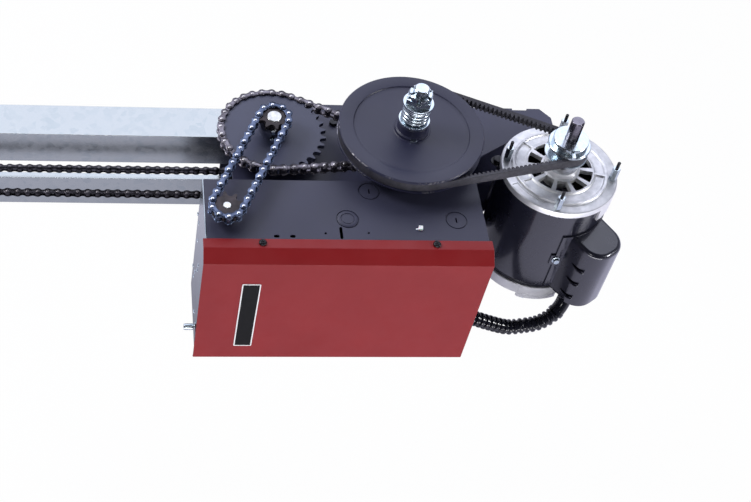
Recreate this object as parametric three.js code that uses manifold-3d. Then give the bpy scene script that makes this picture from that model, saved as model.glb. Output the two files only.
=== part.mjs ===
// Commercial trolley-type door opener: a belt-driven clutch pulley turns a roller-chain reduction, and the
// output shaft drives the trolley chain between two track angles. Millimetres, +Z along the shafts.
// The origin is on the hanger face of the frame, behind the output shaft, level with the trolley chain.
import * as THREE from 'three';
import * as BufferGeometryUtils from 'three/addons/utils/BufferGeometryUtils.js';
import Module from 'manifold-3d';

const wasm = await Module();
wasm.setup();

// ---------------------------------------------------------------- driving dimensions
const GAP = 0.3;                     // running or fitting clearance between two pieces
const OVERCUT = 1;                   // how far a cutting tool runs past the surface it opens

// roller chain (No. 41) and sprockets
const PITCH = 12.7;
const ROLLER_RADIUS = 4.0;
const CHAIN_HALF_WIDTH = 6.3;
const LINK_HALF_HEIGHT = 5;
const SPROCKET_THICK = 5.8;
const ROLLER_CLEARANCE = 0.1;        // tooth gap over the roller
const TOOTH_GAP_HALF = 62;           // half angle of the roller seat, degrees
const TOOTH_TIP_SHARE = 0.1;         // half tooth tip as a share of one tooth
const LARGE_TEETH = 32;
const CLUTCH_TEETH = 9;
const TROLLEY_TEETH = 10;
const LIMIT_TEETH = 9;
const LIMIT_LINKS = 34;

// shaft places, measured from the output shaft
const HANGER_TO_SHAFT = 77.5;        // hanger face to output shaft
const CLUTCH_X = 166;
const CLUTCH_Y = -29.7;
const MOTOR_X = 361.4;
const MOTOR_Y = -50;
const LIMIT_ANGLE = -114.8;          // direction of the limit shaft, degrees
const REDUCTION_RISE = 29;           // reduction chain over the frame plate
const LIMIT_RISE = 24.7;             // limit chain over the reduction chain
const BELT_RISE = 33;                // belt over the reduction chain

// frame
const FRAME_SHEET = 3;
const FRAME_LEFT = -50;
const FRAME_RIGHT = 380;
const FRAME_FRONT = -80.5;
const FRAME_NARROWS_X = 235;         // where the side plates step back to clear the motor
const FRAME_DIAGONAL = 42;           // end of the sloping edge, from the right end
const FRAME_SLOPE = 0.63;
const END_CHAMFER = 16;
const END_CHAMFER_LENGTH = 12.8;
const NOTCH_X = 330;
const NOTCH_WIDTH = 20;
const MOTOR_PLATE_LENGTH = 61;
const MOTOR_PLATE_INSET = 1;

// track
const TRACK_SLOT = 31.8;             // between the webs of the two rails
const RAIL_LEG = 50.8;
const RAIL_THICK = 3.2;
const RAIL_WEB_Y = 19;
const RAIL_PAST_IDLER = 45;          // rail end beyond the idler pin
const RAIL_END = 105;
const RAIL_BOLT_X = 86;
const RAIL_BOLT_INSET = 24.5;        // from the web face
const RAIL_BOLT_RADIUS = 4;
const BOLT_HEAD_RADIUS = 7.5;
const BOLT_HEAD_HEIGHT = 5.3;
const BOLT_NUT_HEIGHT = 6;
const BOLT_END = 3;                  // bolt end beyond its nut
const IDLER_X = -520;
const IDLER_PIN = 6;
const IDLER_PIN_END = 4;             // pin end beyond the cheek
const IDLER_HUB_SPACE = 4.5;         // idler hub to rail web
const BRACKET_SHEET = 3;
const BRACKET_FRONT = 16;            // cheek edge in front of the chain line
const BRACKET_PAST_PIN = 20;
const BRACKET_FOOT = 24;             // foot over the back of the rail web
const BRACKET_CLEARANCE = 1;
const TROLLEY_X = -430;
const TROLLEY_LENGTH = 90;
const TROLLEY_DROP = 48;             // arm plates in front of the chain line
const TROLLEY_FACE_Y = 8;            // slide face behind the chain line
const TROLLEY_BRIDGE = 4.5;
const TROLLEY_SLIDE = 30;            // slide over the face of the rail web
const TROLLEY_CHAIN_SPACE = 2.4;
const TROLLEY_BACK = 7;
const TROLLEY_BACK_INSET = 8;        // rear slide shorter than the front one, each end
const ARM_PLATE_HALF = 22;
const ARM_PLATE_THICK = 3;
const ARM_PIN_RADIUS = 5;
const ARM_PIN_INSET = 10;
const ARM_PIN_END = 4;               // pin end beyond the arm plate

// shafts and bearings
const SHAFT_RADIUS = 9.5;
const SHAFT_OVERHANG = 6;            // shaft end beyond the lower bearing
const BEARING_RADIUS = 20;
const BEARING_BOSS = 14;
const BEARING_FLANGE = 3;
const BEARING_BOSS_END = 1;          // boss end inside the plate
const SHAFT_PROUD = 1;               // shaft end over the limit sprocket
const SPROCKET_HUB = 12.5;
const TROLLEY_HUB = 13.5;
const TROLLEY_HUB_HALF = 14;
const LARGE_HUB = 19;
const LARGE_HUB_RISE = 11;

// clutch
const PULLEY_RADIUS = 90.2;
const PULLEY_WIDTH = 20;
const PULLEY_RIM = 18.2;
const PULLEY_HUB = 22;
const PULLEY_HUB_FOOT = 1.4;         // hub below the rim
const PULLEY_HUB_DROP = 1.6;         // hub top below the rim top
const PULLEY_WEB = 5.5;
const PULLEY_RECESS = 3.5;
const RECESS_TAPER = 1.5;
const BACKING_RADIUS = 40;
const BACKING_THICK = 5;
const FRICTION_RADIUS = 38;
const FRICTION_THICK = 3;
const COLLAR_RADIUS = 17.4;
const COLLAR_LENGTH = 15.3;
const WASHER_RADIUS = 19;
const WASHER_THICK = 3;
const SPRING_RADIUS = 14.4;
const SPRING_WIRE = 2.4;
const SPRING_LENGTH = 24.6;
const SPRING_TURNS = 5;
const NUT_RADIUS = 15;
const NUT_HEIGHT = 15.5;
const NUT_SLOT_WIDTH = 4;
const NUT_SLOT_DEPTH = 5;
const CLUTCH_SHAFT_TOP = 8;          // shaft end over the castle nut
const COTTER_RADIUS = 1.5;
const COTTER_DEPTH = 3;              // cotter pin below the nut top
const COTTER_END = 2.5;              // pin end beyond the nut

// belt
const BELT_WIDTH = 12.2;
const BELT_DEPTH = 8;
const BELT_SLOPE = 0.25;             // side slope of belt and groove
const BELT_INSET = 1;                // belt back below the pulley rim
const BELT_SIDE_GAP = 0.45;
const GROOVE_DEPTH = 10.5;

// motor
const SHELL_RADIUS = 70.5;
const SHELL_SHEET = 1.2;
const BELL_PROUD = 3.3;              // end bells over the shell
const MOTOR_TOP = 93.5;              // outer ring of the top bell
const MOTOR_LENGTH = 170.5;
const BELL_TOP_DEPTH = 8.5;
const BELL_TOP_STEP = 3;             // raised middle of the top bell
const BELL_STEP_SPACE = 6.7;         // raised middle clear of the through bolts
const BELL_BOTTOM_DEPTH = 18.5;
const BELL_WALL = 5;
const BELL_FLOOR = 7;
const BELL_SPIGOT = 4;
const BELL_HUB = 19;
const BELL_TOP_BOSS = 14;            // bearing boss under the top bell
const BELL_BOTTOM_BOSS = 8;
const BELL_NOSE = 18;
const BELL_NOSE_RISE = 3.5;
const SHAFT_END_SPACE = 4;           // floor of the bottom bearing pocket
const BELL_SKIRT = 20;               // apron of the top bell over the capacitor side
const SKIRT_ANGLE = 60;
const LUG_HEIGHT = 5;                // bolt lugs under the bottom bell
const LUG_WIDTH = 15.8;
const LUG_BEFORE = 8;                // lug ends round the bolt, degrees
const LUG_AFTER = 34;
const MOTOR_SHAFT = 8;
const MOTOR_SHAFT_RISE = 39;         // shaft end over the belt pulleys
const MOTOR_PULLEY_RADIUS = 26.5;
const MOTOR_HUB = 19;
const MOTOR_HUB_RISE = 8;
const MOTOR_HUB_FOOT = 16;
const MOTOR_HUB_FOOT_RISE = 4;
const ROTOR_RADIUS = 39.7;
const CORE_FROM_BOTTOM = 47;
const CORE_FROM_TOP = 48.5;
const CORE_SIDES = 24;               // flats of the faceted bore, which the rotor turns inside
const BOLT_INSET = 3.8;              // through bolts inside the shell radius
const BOLT_NOTCH = 1.5;              // core notch over the bolt
const THROUGH_BOLT_RADIUS = 2.1;
const THROUGH_NUT_RADIUS = 5;
const THROUGH_HEAD = 4;
const THROUGH_BOLT_ANGLE = 76;
const COUPLING_NUT = 20.5;
const ROD_TIP = 31;                  // rod end over the top bell
const VENTS = 10;
const VENT_INNER = 28;
const VENT_RADIUS = 41;
const VENT_START = 12;               // direction of the first vent, degrees
const VENT_SHARE = 0.72;             // vent width as a share of its sector
const SADDLE_WIDTH = 60;
const SADDLE_HALF_HEIGHT = 40;
const SADDLE_STAND = 11.5;           // motor shell to motor plate
const SADDLE_WRAP = 14;              // saddle edge round the shell

// capacitor cover on the motor shell
const CAP_ANGLE = -55;
const CAP_HALF_WIDTH = 30;
const CAP_STAND = 43;                // cover face over the shell
const CAP_CORNER = 24;
const CAP_BELOW_SHELL = 3.8;
const CAP_LENGTH = 101;
const CAP_SHEET = 1.8;
const CAP_FLANGE_SPREAD = 27;
const CAP_EAR_SPREAD = 33;
const CAP_EAR_HALF = 10;
const CAP_FLANGE_RISE = 6;           // flange over the top of the cover
const CAP_FLANGE_INSET = 7;          // flange over the bottom of the cover
const CAPACITOR_RADIUS = 17.8;
const CAPACITOR_LENGTH = 82;
const CAPACITOR_SPACE = 1.2;

// electrical box and cover
const LIMIT_TO_BOX_END = 25.412;      // limit shaft to the left end of the box
const BOX_RIGHT = 246;
const BOX_BACK = -85;
const BOX_LIP = -190;
const BOX_HALF_HEIGHT = 104.4;
const BOX_SHEET = 1.6;
const COVER_FLANGE_Y = -177.4;
const COVER_FACE_Y = -207.4;
const COVER_CHAMFER_OUT = 16;
const COVER_CHAMFER_DOWN = 11;
const COVER_SHEET = 1.5;
const COVER_BEND_OUT = 0.3;          // inner bend lines, as a share of the sheet
const COVER_BEND_DOWN = 0.6;
const COVER_OVERHANG = 3;
const COVER_SCREW_Y = -184;
const COVER_SCREW_LEFT = -25.5;
const COVER_SCREW_RIGHT = 181;
const SCREW_RADIUS = 2.4;
const SCREW_HEAD_RADIUS = 4.6;
const SCREW_HEAD_HEIGHT = 2.8;
const SCREW_LENGTH = 11;
const PANEL_LIP = 1;                 // end panel corner behind the box lip
const LABEL_X = -35;
const LABEL_WIDTH = 22.5;
const LABEL_TOP = 58;
const LABEL_BOTTOM = -69;
const LABEL_THICK = 0.8;
const LABEL_GLUE = 0.1;
const ANTENNA_Y = -188;
const ANTENNA_Z = -57;
const ANTENNA_RADIUS = 4.1;
const ANTENNA_LENGTH = 16;
const ANTENNA_NUT_RADIUS = 6.5;
const ANTENNA_NUT_THICK = 2.5;
const ANTENNA_INSIDE = 3;

// things inside the box
const BOARD_LEFT = -20;
const BOARD_RIGHT = 150;
const BOARD_HALF_HEIGHT = 72;
const BOARD_THICK = 1.6;
const BOARD_STAND = 8;
const BOARD_POST_INSET = 6;
const BOARD_POST_HALF = 3;
const RELAY_LEFT = 10;
const RELAY_STEP = 35;
const RELAY_WIDTH = 26;
const RELAY_HALF_HEIGHT = 14;
const RELAY_DEPTH = 20;
const RELAY_Z = 40;
const RELAYS = 3;
const TERMINAL_LEFT = 0;
const TERMINAL_RIGHT = 130;
const TERMINAL_DEPTH = 14;
const TERMINAL_HEIGHT = 14;
const TERMINAL_EDGE = 4;
const CORE_LEFT = 165;               // transformer core
const CORE_WIDTH = 60;
const CORE_HEIGHT = 46;
const CORE_DEPTH = 48;
const CORE_BEHIND = 7;               // core behind the back wall's inside face
const COIL_INSET = 10;
const COIL_PROUD = 8;
const COIL_BACK = 1;

// conduit from the box to the capacitor cover
const CONDUIT_RADIUS = 10;
const CONDUIT_Y = -152;
const CONDUIT_Z = -79;
const CONDUIT_WALL = 1;
const CONDUIT_NUT = 4;               // connector nut over the conduit
const CONDUIT_NUT_THICK = 9;
const CONDUIT_SPIGOT = 7;
const CONDUIT_ALONG = 13.08;         // end of the conduit from the shell, away from the motor
const CONDUIT_ASIDE = -11.4;
const CONDUIT_FROM_BOX = [[3, 0, 0], [22, 0, -5], [47.7, 4, -21], [77.7, 9, -37]];
const CONDUIT_TO_COVER = [
  [-54, -14, -59.7], [-34, -11, -56.7], [-15, -7, -46.7], [-4, -3, -30.7], [0, 0, -15.7], [0, 0, 0],
];

// limit mechanism
const LIMIT_SHAFT = 5;
const LIMIT_SHAFT_BOTTOM = -92;
const BUSHING_RADIUS = 8.5;
const BUSHING_BODY = 6.8;
const BUSHING_FLANGE = 1.8;
const BUSHING_INSIDE = 6;
const LIMIT_HUB = 9;
const LIMIT_SHAFT_END = 0.6;         // shaft end over the limit sprocket
const SHELF_RISE = 4;                // shelf over the lower shaft end
const SHELF_HALF = 18;
const SHELF_FRONT = 13;
const BRACKET_TOP_SPACE = 12;        // bracket top below the box top
const SWITCH_OFFSET = 22;
const SWITCH_WIDTH = 12;
const SWITCH_HALF_HEIGHT = 9;
const SWITCH_INSET = 6;
const LIMIT_NUT_RADIUS = 19;
const LIMIT_NUT_THICK = 8;
const LIMIT_NUT_SPREAD = 44;
const GUIDE_THICK = 2;
const GUIDE_REACH = 16;

// ---------------------------------------------------------------- materials
const paint = (color, roughness, metalness) => new THREE.MeshStandardMaterial({ color, roughness, metalness });
const galvanised = paint('#ced6da', 0.38, 0.85);
const zinc = paint('#c3ccd2', 0.25, 0.95);
const blackPaint = paint('#1b1c22', 0.45, 0.3);
const darkPaint = paint('#33343f', 0.5, 0.2);
const oiledSteel = paint('#4a4644', 0.4, 0.8);
const chainSteel = paint('#3b3a3c', 0.35, 0.85);
const blueSteel = paint('#3c4c6b', 0.28, 0.9);
const bronze = paint('#c58a5e', 0.3, 0.9);
const aluminium = paint('#c4c6cb', 0.4, 0.75);
const redPaint = paint('#8c2a2d', 0.42, 0.1);
const rubber = paint('#1a1917', 0.8, 0);
const frictionFibre = paint('#6b5a45', 0.9, 0);
const boardGreen = paint('#1f5c3a', 0.6, 0);
const nylon = paint('#e6e4dc', 0.5, 0);
const laminations = paint('#7b7f86', 0.5, 0.7);

// ---------------------------------------------------------------- shape helpers
const rad = THREE.MathUtils.degToRad;

function slab(x0, x1, y0, y1, z0, z1) {
  const block = new THREE.BoxGeometry(x1 - x0, y1 - y0, z1 - z0);
  return block.translate((x0 + x1) / 2, (y0 + y1) / 2, (z0 + z1) / 2);
}

function round(radius, z0, z1, x = 0, y = 0, sides = 16) {
  const rod = new THREE.CylinderGeometry(radius, radius, z1 - z0, sides).rotateX(Math.PI / 2);
  return rod.translate(x, y, (z0 + z1) / 2);
}

// Body of revolution about +Z; profile points are [radius, height], anticlockwise.
function turned(profile, sides = 32) {
  const outline = profile.concat([profile[0]]).map(([r, z]) => new THREE.Vector2(r, z));
  return new THREE.LatheGeometry(outline, sides).rotateX(Math.PI / 2);
}

function polygon(points) {
  return new THREE.Shape(points.map(([x, y]) => new THREE.Vector2(x, y)));
}

function prism(shape, z0, z1, curveSegments = 12) {
  const body = new THREE.ExtrudeGeometry(shape, { depth: z1 - z0, bevelEnabled: false, curveSegments });
  return body.translate(0, 0, z0);
}

// Part of a ring about +Z between two directions, in degrees.
function ringPart(inner, outer, from, to, z0, z1, curveSegments = 6) {
  const shape = new THREE.Shape();
  shape.absarc(0, 0, outer, rad(from), rad(to), false);
  shape.absarc(0, 0, inner, rad(to), rad(from), true);
  return prism(shape, z0, z1, curveSegments);
}

// Prism along +X of an outline given as [y, z] points.
function bar(points, x0, x1) {
  const toX = new THREE.Matrix4().makeBasis(
    new THREE.Vector3(0, 1, 0), new THREE.Vector3(0, 0, 1), new THREE.Vector3(1, 0, 0));
  return prism(polygon(points), x0, x1).applyMatrix4(toX);
}

function toSolid(geometry) {
  const bare = geometry.clone();
  bare.deleteAttribute('normal');
  bare.deleteAttribute('uv');
  const merged = BufferGeometryUtils.mergeVertices(bare, 1e-4);
  const vertProperties = new Float32Array(merged.attributes.position.array);
  const triVerts = new Uint32Array(merged.index.array);
  return new wasm.Manifold(new wasm.Mesh({ numProp: 3, vertProperties, triVerts }));
}

function toGeometry(solid) {
  const mesh = solid.getMesh();
  const geometry = new THREE.BufferGeometry();
  geometry.setAttribute('position', new THREE.BufferAttribute(mesh.vertProperties, 3));
  geometry.setIndex(new THREE.BufferAttribute(mesh.triVerts, 1));
  geometry.computeVertexNormals();
  return geometry;
}

function joined(first, ...others) {
  return toGeometry(others.reduce((whole, next) => whole.add(toSolid(next)), toSolid(first)));
}

function cut(first, ...tools) {
  return toGeometry(tools.reduce((whole, tool) => whole.subtract(toSolid(tool)), toSolid(first)));
}

// ---------------------------------------------------------------- chain, belt and sprocket shapes
const pitchRadius = (teeth) => PITCH / 2 / Math.sin(Math.PI / teeth);
const tipRadius = (teeth) => (PITCH / 2) * (0.6 + 1 / Math.tan(Math.PI / teeth));

function sprocketOutline(teeth) {
  const points = [];
  const step = (2 * Math.PI) / teeth;
  const seat = ROLLER_RADIUS + ROLLER_CLEARANCE;
  for (let tooth = 0; tooth < teeth; tooth++) {
    const middle = tooth * step;
    const x = pitchRadius(teeth) * Math.cos(middle);
    const y = pitchRadius(teeth) * Math.sin(middle);
    for (const swing of [TOOTH_GAP_HALF, 0, -TOOTH_GAP_HALF]) {
      const angle = middle + Math.PI + rad(swing);
      points.push([x + seat * Math.cos(angle), y + seat * Math.sin(angle)]);
    }
    for (const side of [-TOOTH_TIP_SHARE, TOOTH_TIP_SHARE]) {
      const angle = middle + step * (0.5 + side);
      points.push([tipRadius(teeth) * Math.cos(angle), tipRadius(teeth) * Math.sin(angle)]);
    }
  }
  return polygon(points);
}

// A toothed plate at height `plane` with a hub that reaches from hubBottom to hubTop.
function sprocket(teeth, plane, hub, hubBottom, hubTop, bore) {
  const plate = prism(sprocketOutline(teeth), plane - SPROCKET_THICK / 2, plane + SPROCKET_THICK / 2);
  return cut(joined(plate, round(hub, hubBottom, hubTop)), round(bore, hubBottom - OVERCUT, hubTop + OVERCUT));
}

// A closed band round two wheels; section points are [offset from the wheel radius, height], anticlockwise.
function loopBand(wheelA, wheelB, section, steps) {
  const dx = wheelB.x - wheelA.x;
  const dy = wheelB.y - wheelA.y;
  const heading = Math.atan2(dy, dx);
  const spread = Math.acos((wheelA.radius - wheelB.radius) / Math.hypot(dx, dy));
  const stations = [];
  for (let i = 0; i <= steps; i++) {
    stations.push([wheelA, heading + spread + ((2 * Math.PI - 2 * spread) * i) / steps]);
  }
  for (let i = 0; i <= steps; i++) {
    stations.push([wheelB, heading - spread + (2 * spread * i) / steps]);
  }
  const positions = [];
  for (const [wheel, angle] of stations) {
    for (const [offset, height] of section) {
      const reach = wheel.radius + offset;
      positions.push(wheel.x + reach * Math.cos(angle), wheel.y + reach * Math.sin(angle), height);
    }
  }
  const around = section.length;
  const indices = [];
  for (let i = 0; i < stations.length; i++) {
    const next = (i + 1) % stations.length;
    for (let j = 0; j < around; j++) {
      const k = (j + 1) % around;
      const corners = [i * around + j, i * around + k, next * around + k, next * around + j];
      indices.push(corners[0], corners[2], corners[1], corners[0], corners[3], corners[2]);
    }
  }
  const geometry = new THREE.BufferGeometry();
  geometry.setAttribute('position', new THREE.Float32BufferAttribute(positions, 3));
  geometry.setIndex(indices);
  return geometry;
}

// Roller chain as a hollow band: side plates and outer back, open inwards for the sprocket teeth.
function chainLoop(wheelA, wheelB, plane, steps) {
  const slotHalf = SPROCKET_THICK / 2 + GAP + ROLLER_CLEARANCE;
  const slotTop = tipRadius(LARGE_TEETH) - pitchRadius(LARGE_TEETH) + GAP;
  return loopBand(wheelA, wheelB, [
    [-LINK_HALF_HEIGHT, plane - CHAIN_HALF_WIDTH],
    [LINK_HALF_HEIGHT, plane - CHAIN_HALF_WIDTH],
    [LINK_HALF_HEIGHT, plane + CHAIN_HALF_WIDTH],
    [-LINK_HALF_HEIGHT, plane + CHAIN_HALF_WIDTH],
    [-LINK_HALF_HEIGHT, plane + slotHalf],
    [slotTop, plane + slotHalf],
    [slotTop, plane - slotHalf],
    [-LINK_HALF_HEIGHT, plane - slotHalf],
  ], steps);
}

// ---------------------------------------------------------------- assembly groups
const opener = new THREE.Group();
const machine = new THREE.Group();               // measured from the output shaft
machine.position.y = -HANGER_TO_SHAFT;
opener.add(machine);

function axisAt(x, y, parent = machine) {
  const group = new THREE.Group();
  group.position.set(x, y, 0);
  parent.add(group);
  return group;
}

const limitDistance = ((LIMIT_LINKS - LIMIT_TEETH) * PITCH) / 2;
const limitX = limitDistance * Math.cos(rad(LIMIT_ANGLE));
const limitY = limitDistance * Math.sin(rad(LIMIT_ANGLE));
const boxLeft = limitX - LIMIT_TO_BOX_END;
const outputAxis = axisAt(0, 0);
const clutchAxis = axisAt(CLUTCH_X, CLUTCH_Y);
const limitAxis = axisAt(limitX, limitY);
const motorAxis = axisAt(MOTOR_X, MOTOR_Y);
const idlerAxis = axisAt(IDLER_X, 0);

function add(parent, name, geometry, material) {
  const mesh = new THREE.Mesh(geometry, material);
  mesh.name = name;
  parent.add(mesh);
}

// ---------------------------------------------------------------- frame
const railInside = TRACK_SLOT / 2;
const railOutside = railInside + RAIL_LEG;
const plateInside = railOutside + GAP;
const plateTop = plateInside + FRAME_SHEET;
const motorPlateY = MOTOR_Y + SHELL_RADIUS + SADDLE_STAND;
const railStart = IDLER_X - RAIL_PAST_IDLER;
const boltY = RAIL_WEB_Y + RAIL_BOLT_INSET;
const reductionPlane = plateTop + REDUCTION_RISE;

function sidePlate(z0, z1) {
  const narrowY = motorPlateY - MOTOR_PLATE_INSET / 2;
  const diagonalX = FRAME_RIGHT - FRAME_DIAGONAL;
  return prism(polygon([
    [FRAME_LEFT, FRAME_FRONT],
    [FRAME_NARROWS_X, FRAME_FRONT],
    [FRAME_NARROWS_X, narrowY - FRAME_SLOPE * (diagonalX - FRAME_NARROWS_X)],
    [diagonalX, narrowY],
    [FRAME_RIGHT, narrowY],
    [FRAME_RIGHT, HANGER_TO_SHAFT - END_CHAMFER],
    [FRAME_RIGHT - END_CHAMFER_LENGTH, HANGER_TO_SHAFT],
    [FRAME_LEFT, HANGER_TO_SHAFT],
  ]), z0, z1);
}

function frameChannel() {
  const backInside = HANGER_TO_SHAFT - FRAME_SHEET;
  const motorPlateRight = FRAME_RIGHT - MOTOR_PLATE_INSET;
  const wallRight = FRAME_RIGHT - END_CHAMFER_LENGTH;
  const back = slab(FRAME_LEFT, wallRight, backInside, HANGER_TO_SHAFT, -plateTop, plateTop);
  const front = slab(FRAME_LEFT, FRAME_NARROWS_X, FRAME_FRONT - FRAME_SHEET, FRAME_FRONT, -plateTop, plateTop);
  const motorPlate = slab(motorPlateRight - MOTOR_PLATE_LENGTH, motorPlateRight, motorPlateY,
    motorPlateY + FRAME_SHEET, -plateTop + MOTOR_PLATE_INSET, plateTop - MOTOR_PLATE_INSET);
  const notch = slab(NOTCH_X, NOTCH_X + NOTCH_WIDTH, backInside, HANGER_TO_SHAFT + OVERCUT, plateInside,
    plateTop + OVERCUT);
  const holes = [];
  for (const [x, y] of [[0, 0], [CLUTCH_X, CLUTCH_Y]]) {
    holes.push(round(BEARING_BOSS + GAP, -plateTop - OVERCUT, plateTop + OVERCUT, x, y));
  }
  holes.push(round(RAIL_BOLT_RADIUS + GAP, -plateTop - OVERCUT, plateTop + OVERCUT, RAIL_BOLT_X, boltY, 12));
  const plates = [sidePlate(plateInside, plateTop), sidePlate(-plateTop, -plateInside)];
  return cut(joined(...plates, back, front, motorPlate), notch, ...holes);
}

function rail(side) {
  const section = [
    [RAIL_WEB_Y, side * railInside],
    [RAIL_WEB_Y + RAIL_THICK, side * railInside],
    [RAIL_WEB_Y + RAIL_THICK, side * (railOutside - RAIL_THICK)],
    [RAIL_WEB_Y + RAIL_LEG, side * (railOutside - RAIL_THICK)],
    [RAIL_WEB_Y + RAIL_LEG, side * railOutside],
    [RAIL_WEB_Y, side * railOutside],
  ];
  const angle = bar(side > 0 ? section : section.reverse(), railStart, RAIL_END);
  return cut(angle, round(RAIL_BOLT_RADIUS + GAP, -plateTop, plateTop, RAIL_BOLT_X, boltY, 12));
}

function railBolt() {
  const headSeat = plateTop + GAP;
  const nutTop = railOutside - RAIL_THICK - GAP;
  const nutBottom = nutTop - BOLT_NUT_HEIGHT;
  const head = round(BOLT_HEAD_RADIUS, headSeat, headSeat + BOLT_HEAD_HEIGHT, 0, 0, 6);
  const nut = round(BOLT_HEAD_RADIUS, nutBottom, nutTop, 0, 0, 6);
  return joined(head, round(RAIL_BOLT_RADIUS, nutBottom - BOLT_END, headSeat + OVERCUT, 0, 0, 12), nut);
}

add(machine, 'frame_channel', frameChannel(), blackPaint);
add(machine, 'upper_rail', rail(1), galvanised);
add(machine, 'lower_rail', rail(-1), galvanised);
add(axisAt(RAIL_BOLT_X, boltY), 'upper_rail_bolt', railBolt(), zinc);
add(axisAt(RAIL_BOLT_X, boltY), 'lower_rail_bolt', railBolt().rotateX(Math.PI), zinc);

// ---------------------------------------------------------------- track end, idler and trolley
const trolleyRadius = pitchRadius(TROLLEY_TEETH);
const idlerHub = railInside - IDLER_HUB_SPACE;

const ordered = (near, far) => [near, far].sort((a, b) => a - b);

function idlerBracket() {
  const cheekIn = idlerHub + GAP;
  const cheekOut = railInside - BRACKET_CLEARANCE;
  const footY = RAIL_WEB_Y + RAIL_THICK + GAP;
  const footBack = footY + BRACKET_SHEET;
  const wallRight = railStart - BRACKET_CLEARANCE;
  const wallLeft = wallRight - BRACKET_SHEET;
  const end = IDLER_X + BRACKET_PAST_PIN;
  const parts = [];
  for (const side of [-1, 1]) {
    const cheek = ordered(side * cheekIn, side * cheekOut);
    const foot = ordered(side * cheekIn, side * (railInside + BRACKET_FOOT));
    parts.push(slab(wallLeft, end, -BRACKET_FRONT, footBack, ...cheek));
    parts.push(slab(wallRight + BRACKET_SHEET, end, footY, footBack, ...foot));
  }
  const endWall = slab(wallLeft, wallRight, -BRACKET_FRONT, footBack, -cheekOut, cheekOut);
  const pin = round(IDLER_PIN, -cheekOut - IDLER_PIN_END, cheekOut + IDLER_PIN_END, IDLER_X, 0, 20);
  return joined(endWall, ...parts, pin);
}

function trolleyCarriage() {
  const half = TROLLEY_LENGTH / 2;
  const backHalf = half - TROLLEY_BACK_INSET;
  const slide = railInside + TROLLEY_SLIDE;
  const neck = railInside - 2 * GAP;
  const inner = CHAIN_HALF_WIDTH + TROLLEY_CHAIN_SPACE;
  const arm = inner + 2;
  const armOut = arm + ARM_PLATE_THICK;
  const front = RAIL_WEB_Y - GAP;
  const rear = RAIL_WEB_Y + RAIL_THICK + GAP;
  const back = rear + TROLLEY_BACK;
  const parts = [];
  for (const side of [-1, 1]) {
    const span = (near, far) => ordered(side * near, side * far);
    parts.push(slab(-half, half, TROLLEY_FACE_Y, front, ...span(inner, slide)));
    parts.push(slab(-backHalf, backHalf, TROLLEY_FACE_Y, back, ...span(inner, neck)));
    parts.push(slab(-backHalf, backHalf, rear, back, ...span(inner, slide)));
    parts.push(slab(-ARM_PLATE_HALF, ARM_PLATE_HALF, -TROLLEY_DROP, TROLLEY_FACE_Y + 1, ...span(arm, armOut)));
  }
  const bridgeBack = TROLLEY_FACE_Y + 0.5;
  const bridge = slab(-half, half, bridgeBack - TROLLEY_BRIDGE, bridgeBack, -slide, slide);
  const pinEnd = armOut + ARM_PIN_END;
  const armPin = round(ARM_PIN_RADIUS, -pinEnd, pinEnd, 0, ARM_PIN_INSET - TROLLEY_DROP);
  return joined(bridge, ...parts, armPin);
}

const outputWheel = { x: 0, y: 0, radius: trolleyRadius };
const idlerWheel = { x: IDLER_X, y: 0, radius: trolleyRadius };
add(machine, 'idler_bracket', idlerBracket(), zinc);
add(idlerAxis, 'idler_sprocket', sprocket(TROLLEY_TEETH, 0, SPROCKET_HUB, -idlerHub, idlerHub, IDLER_PIN + GAP),
  oiledSteel);
add(axisAt(TROLLEY_X, 0), 'trolley_carriage', trolleyCarriage(), zinc);
add(machine, 'trolley_chain', chainLoop(outputWheel, idlerWheel, 0, 10), chainSteel);

// ---------------------------------------------------------------- output shaft
const bearingTop = plateTop + GAP + BEARING_FLANGE;
const shaftBore = SHAFT_RADIUS + GAP;
const limitPlane = reductionPlane + LIMIT_RISE;
const limitTop = limitPlane + SPROCKET_THICK / 2;
const largeHubTop = reductionPlane + SPROCKET_THICK / 2 + LARGE_HUB_RISE;

function bearing(side) {
  const flange = ordered(side * (plateTop + GAP), side * bearingTop);
  const boss = ordered(side * (plateInside - BEARING_BOSS_END), side * (plateTop + OVERCUT));
  return cut(joined(round(BEARING_RADIUS, ...flange), round(BEARING_BOSS, ...boss)),
    round(shaftBore, -bearingTop - OVERCUT, bearingTop + OVERCUT));
}

add(outputAxis, 'output_shaft',
  round(SHAFT_RADIUS, -bearingTop - SHAFT_OVERHANG, limitTop + SHAFT_PROUD), zinc);
add(outputAxis, 'output_bearing_top', bearing(1), oiledSteel);
add(outputAxis, 'output_bearing_bottom', bearing(-1), oiledSteel);
add(outputAxis, 'trolley_drive_sprocket',
  sprocket(TROLLEY_TEETH, 0, TROLLEY_HUB, -TROLLEY_HUB_HALF, TROLLEY_HUB_HALF, shaftBore), oiledSteel);
add(outputAxis, 'large_sprocket',
  sprocket(LARGE_TEETH, reductionPlane, LARGE_HUB, bearingTop + GAP, largeHubTop, shaftBore), oiledSteel);
add(outputAxis, 'limit_drive_sprocket',
  sprocket(LIMIT_TEETH, limitPlane, SPROCKET_HUB, largeHubTop + GAP, limitTop, shaftBore), oiledSteel);

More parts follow.
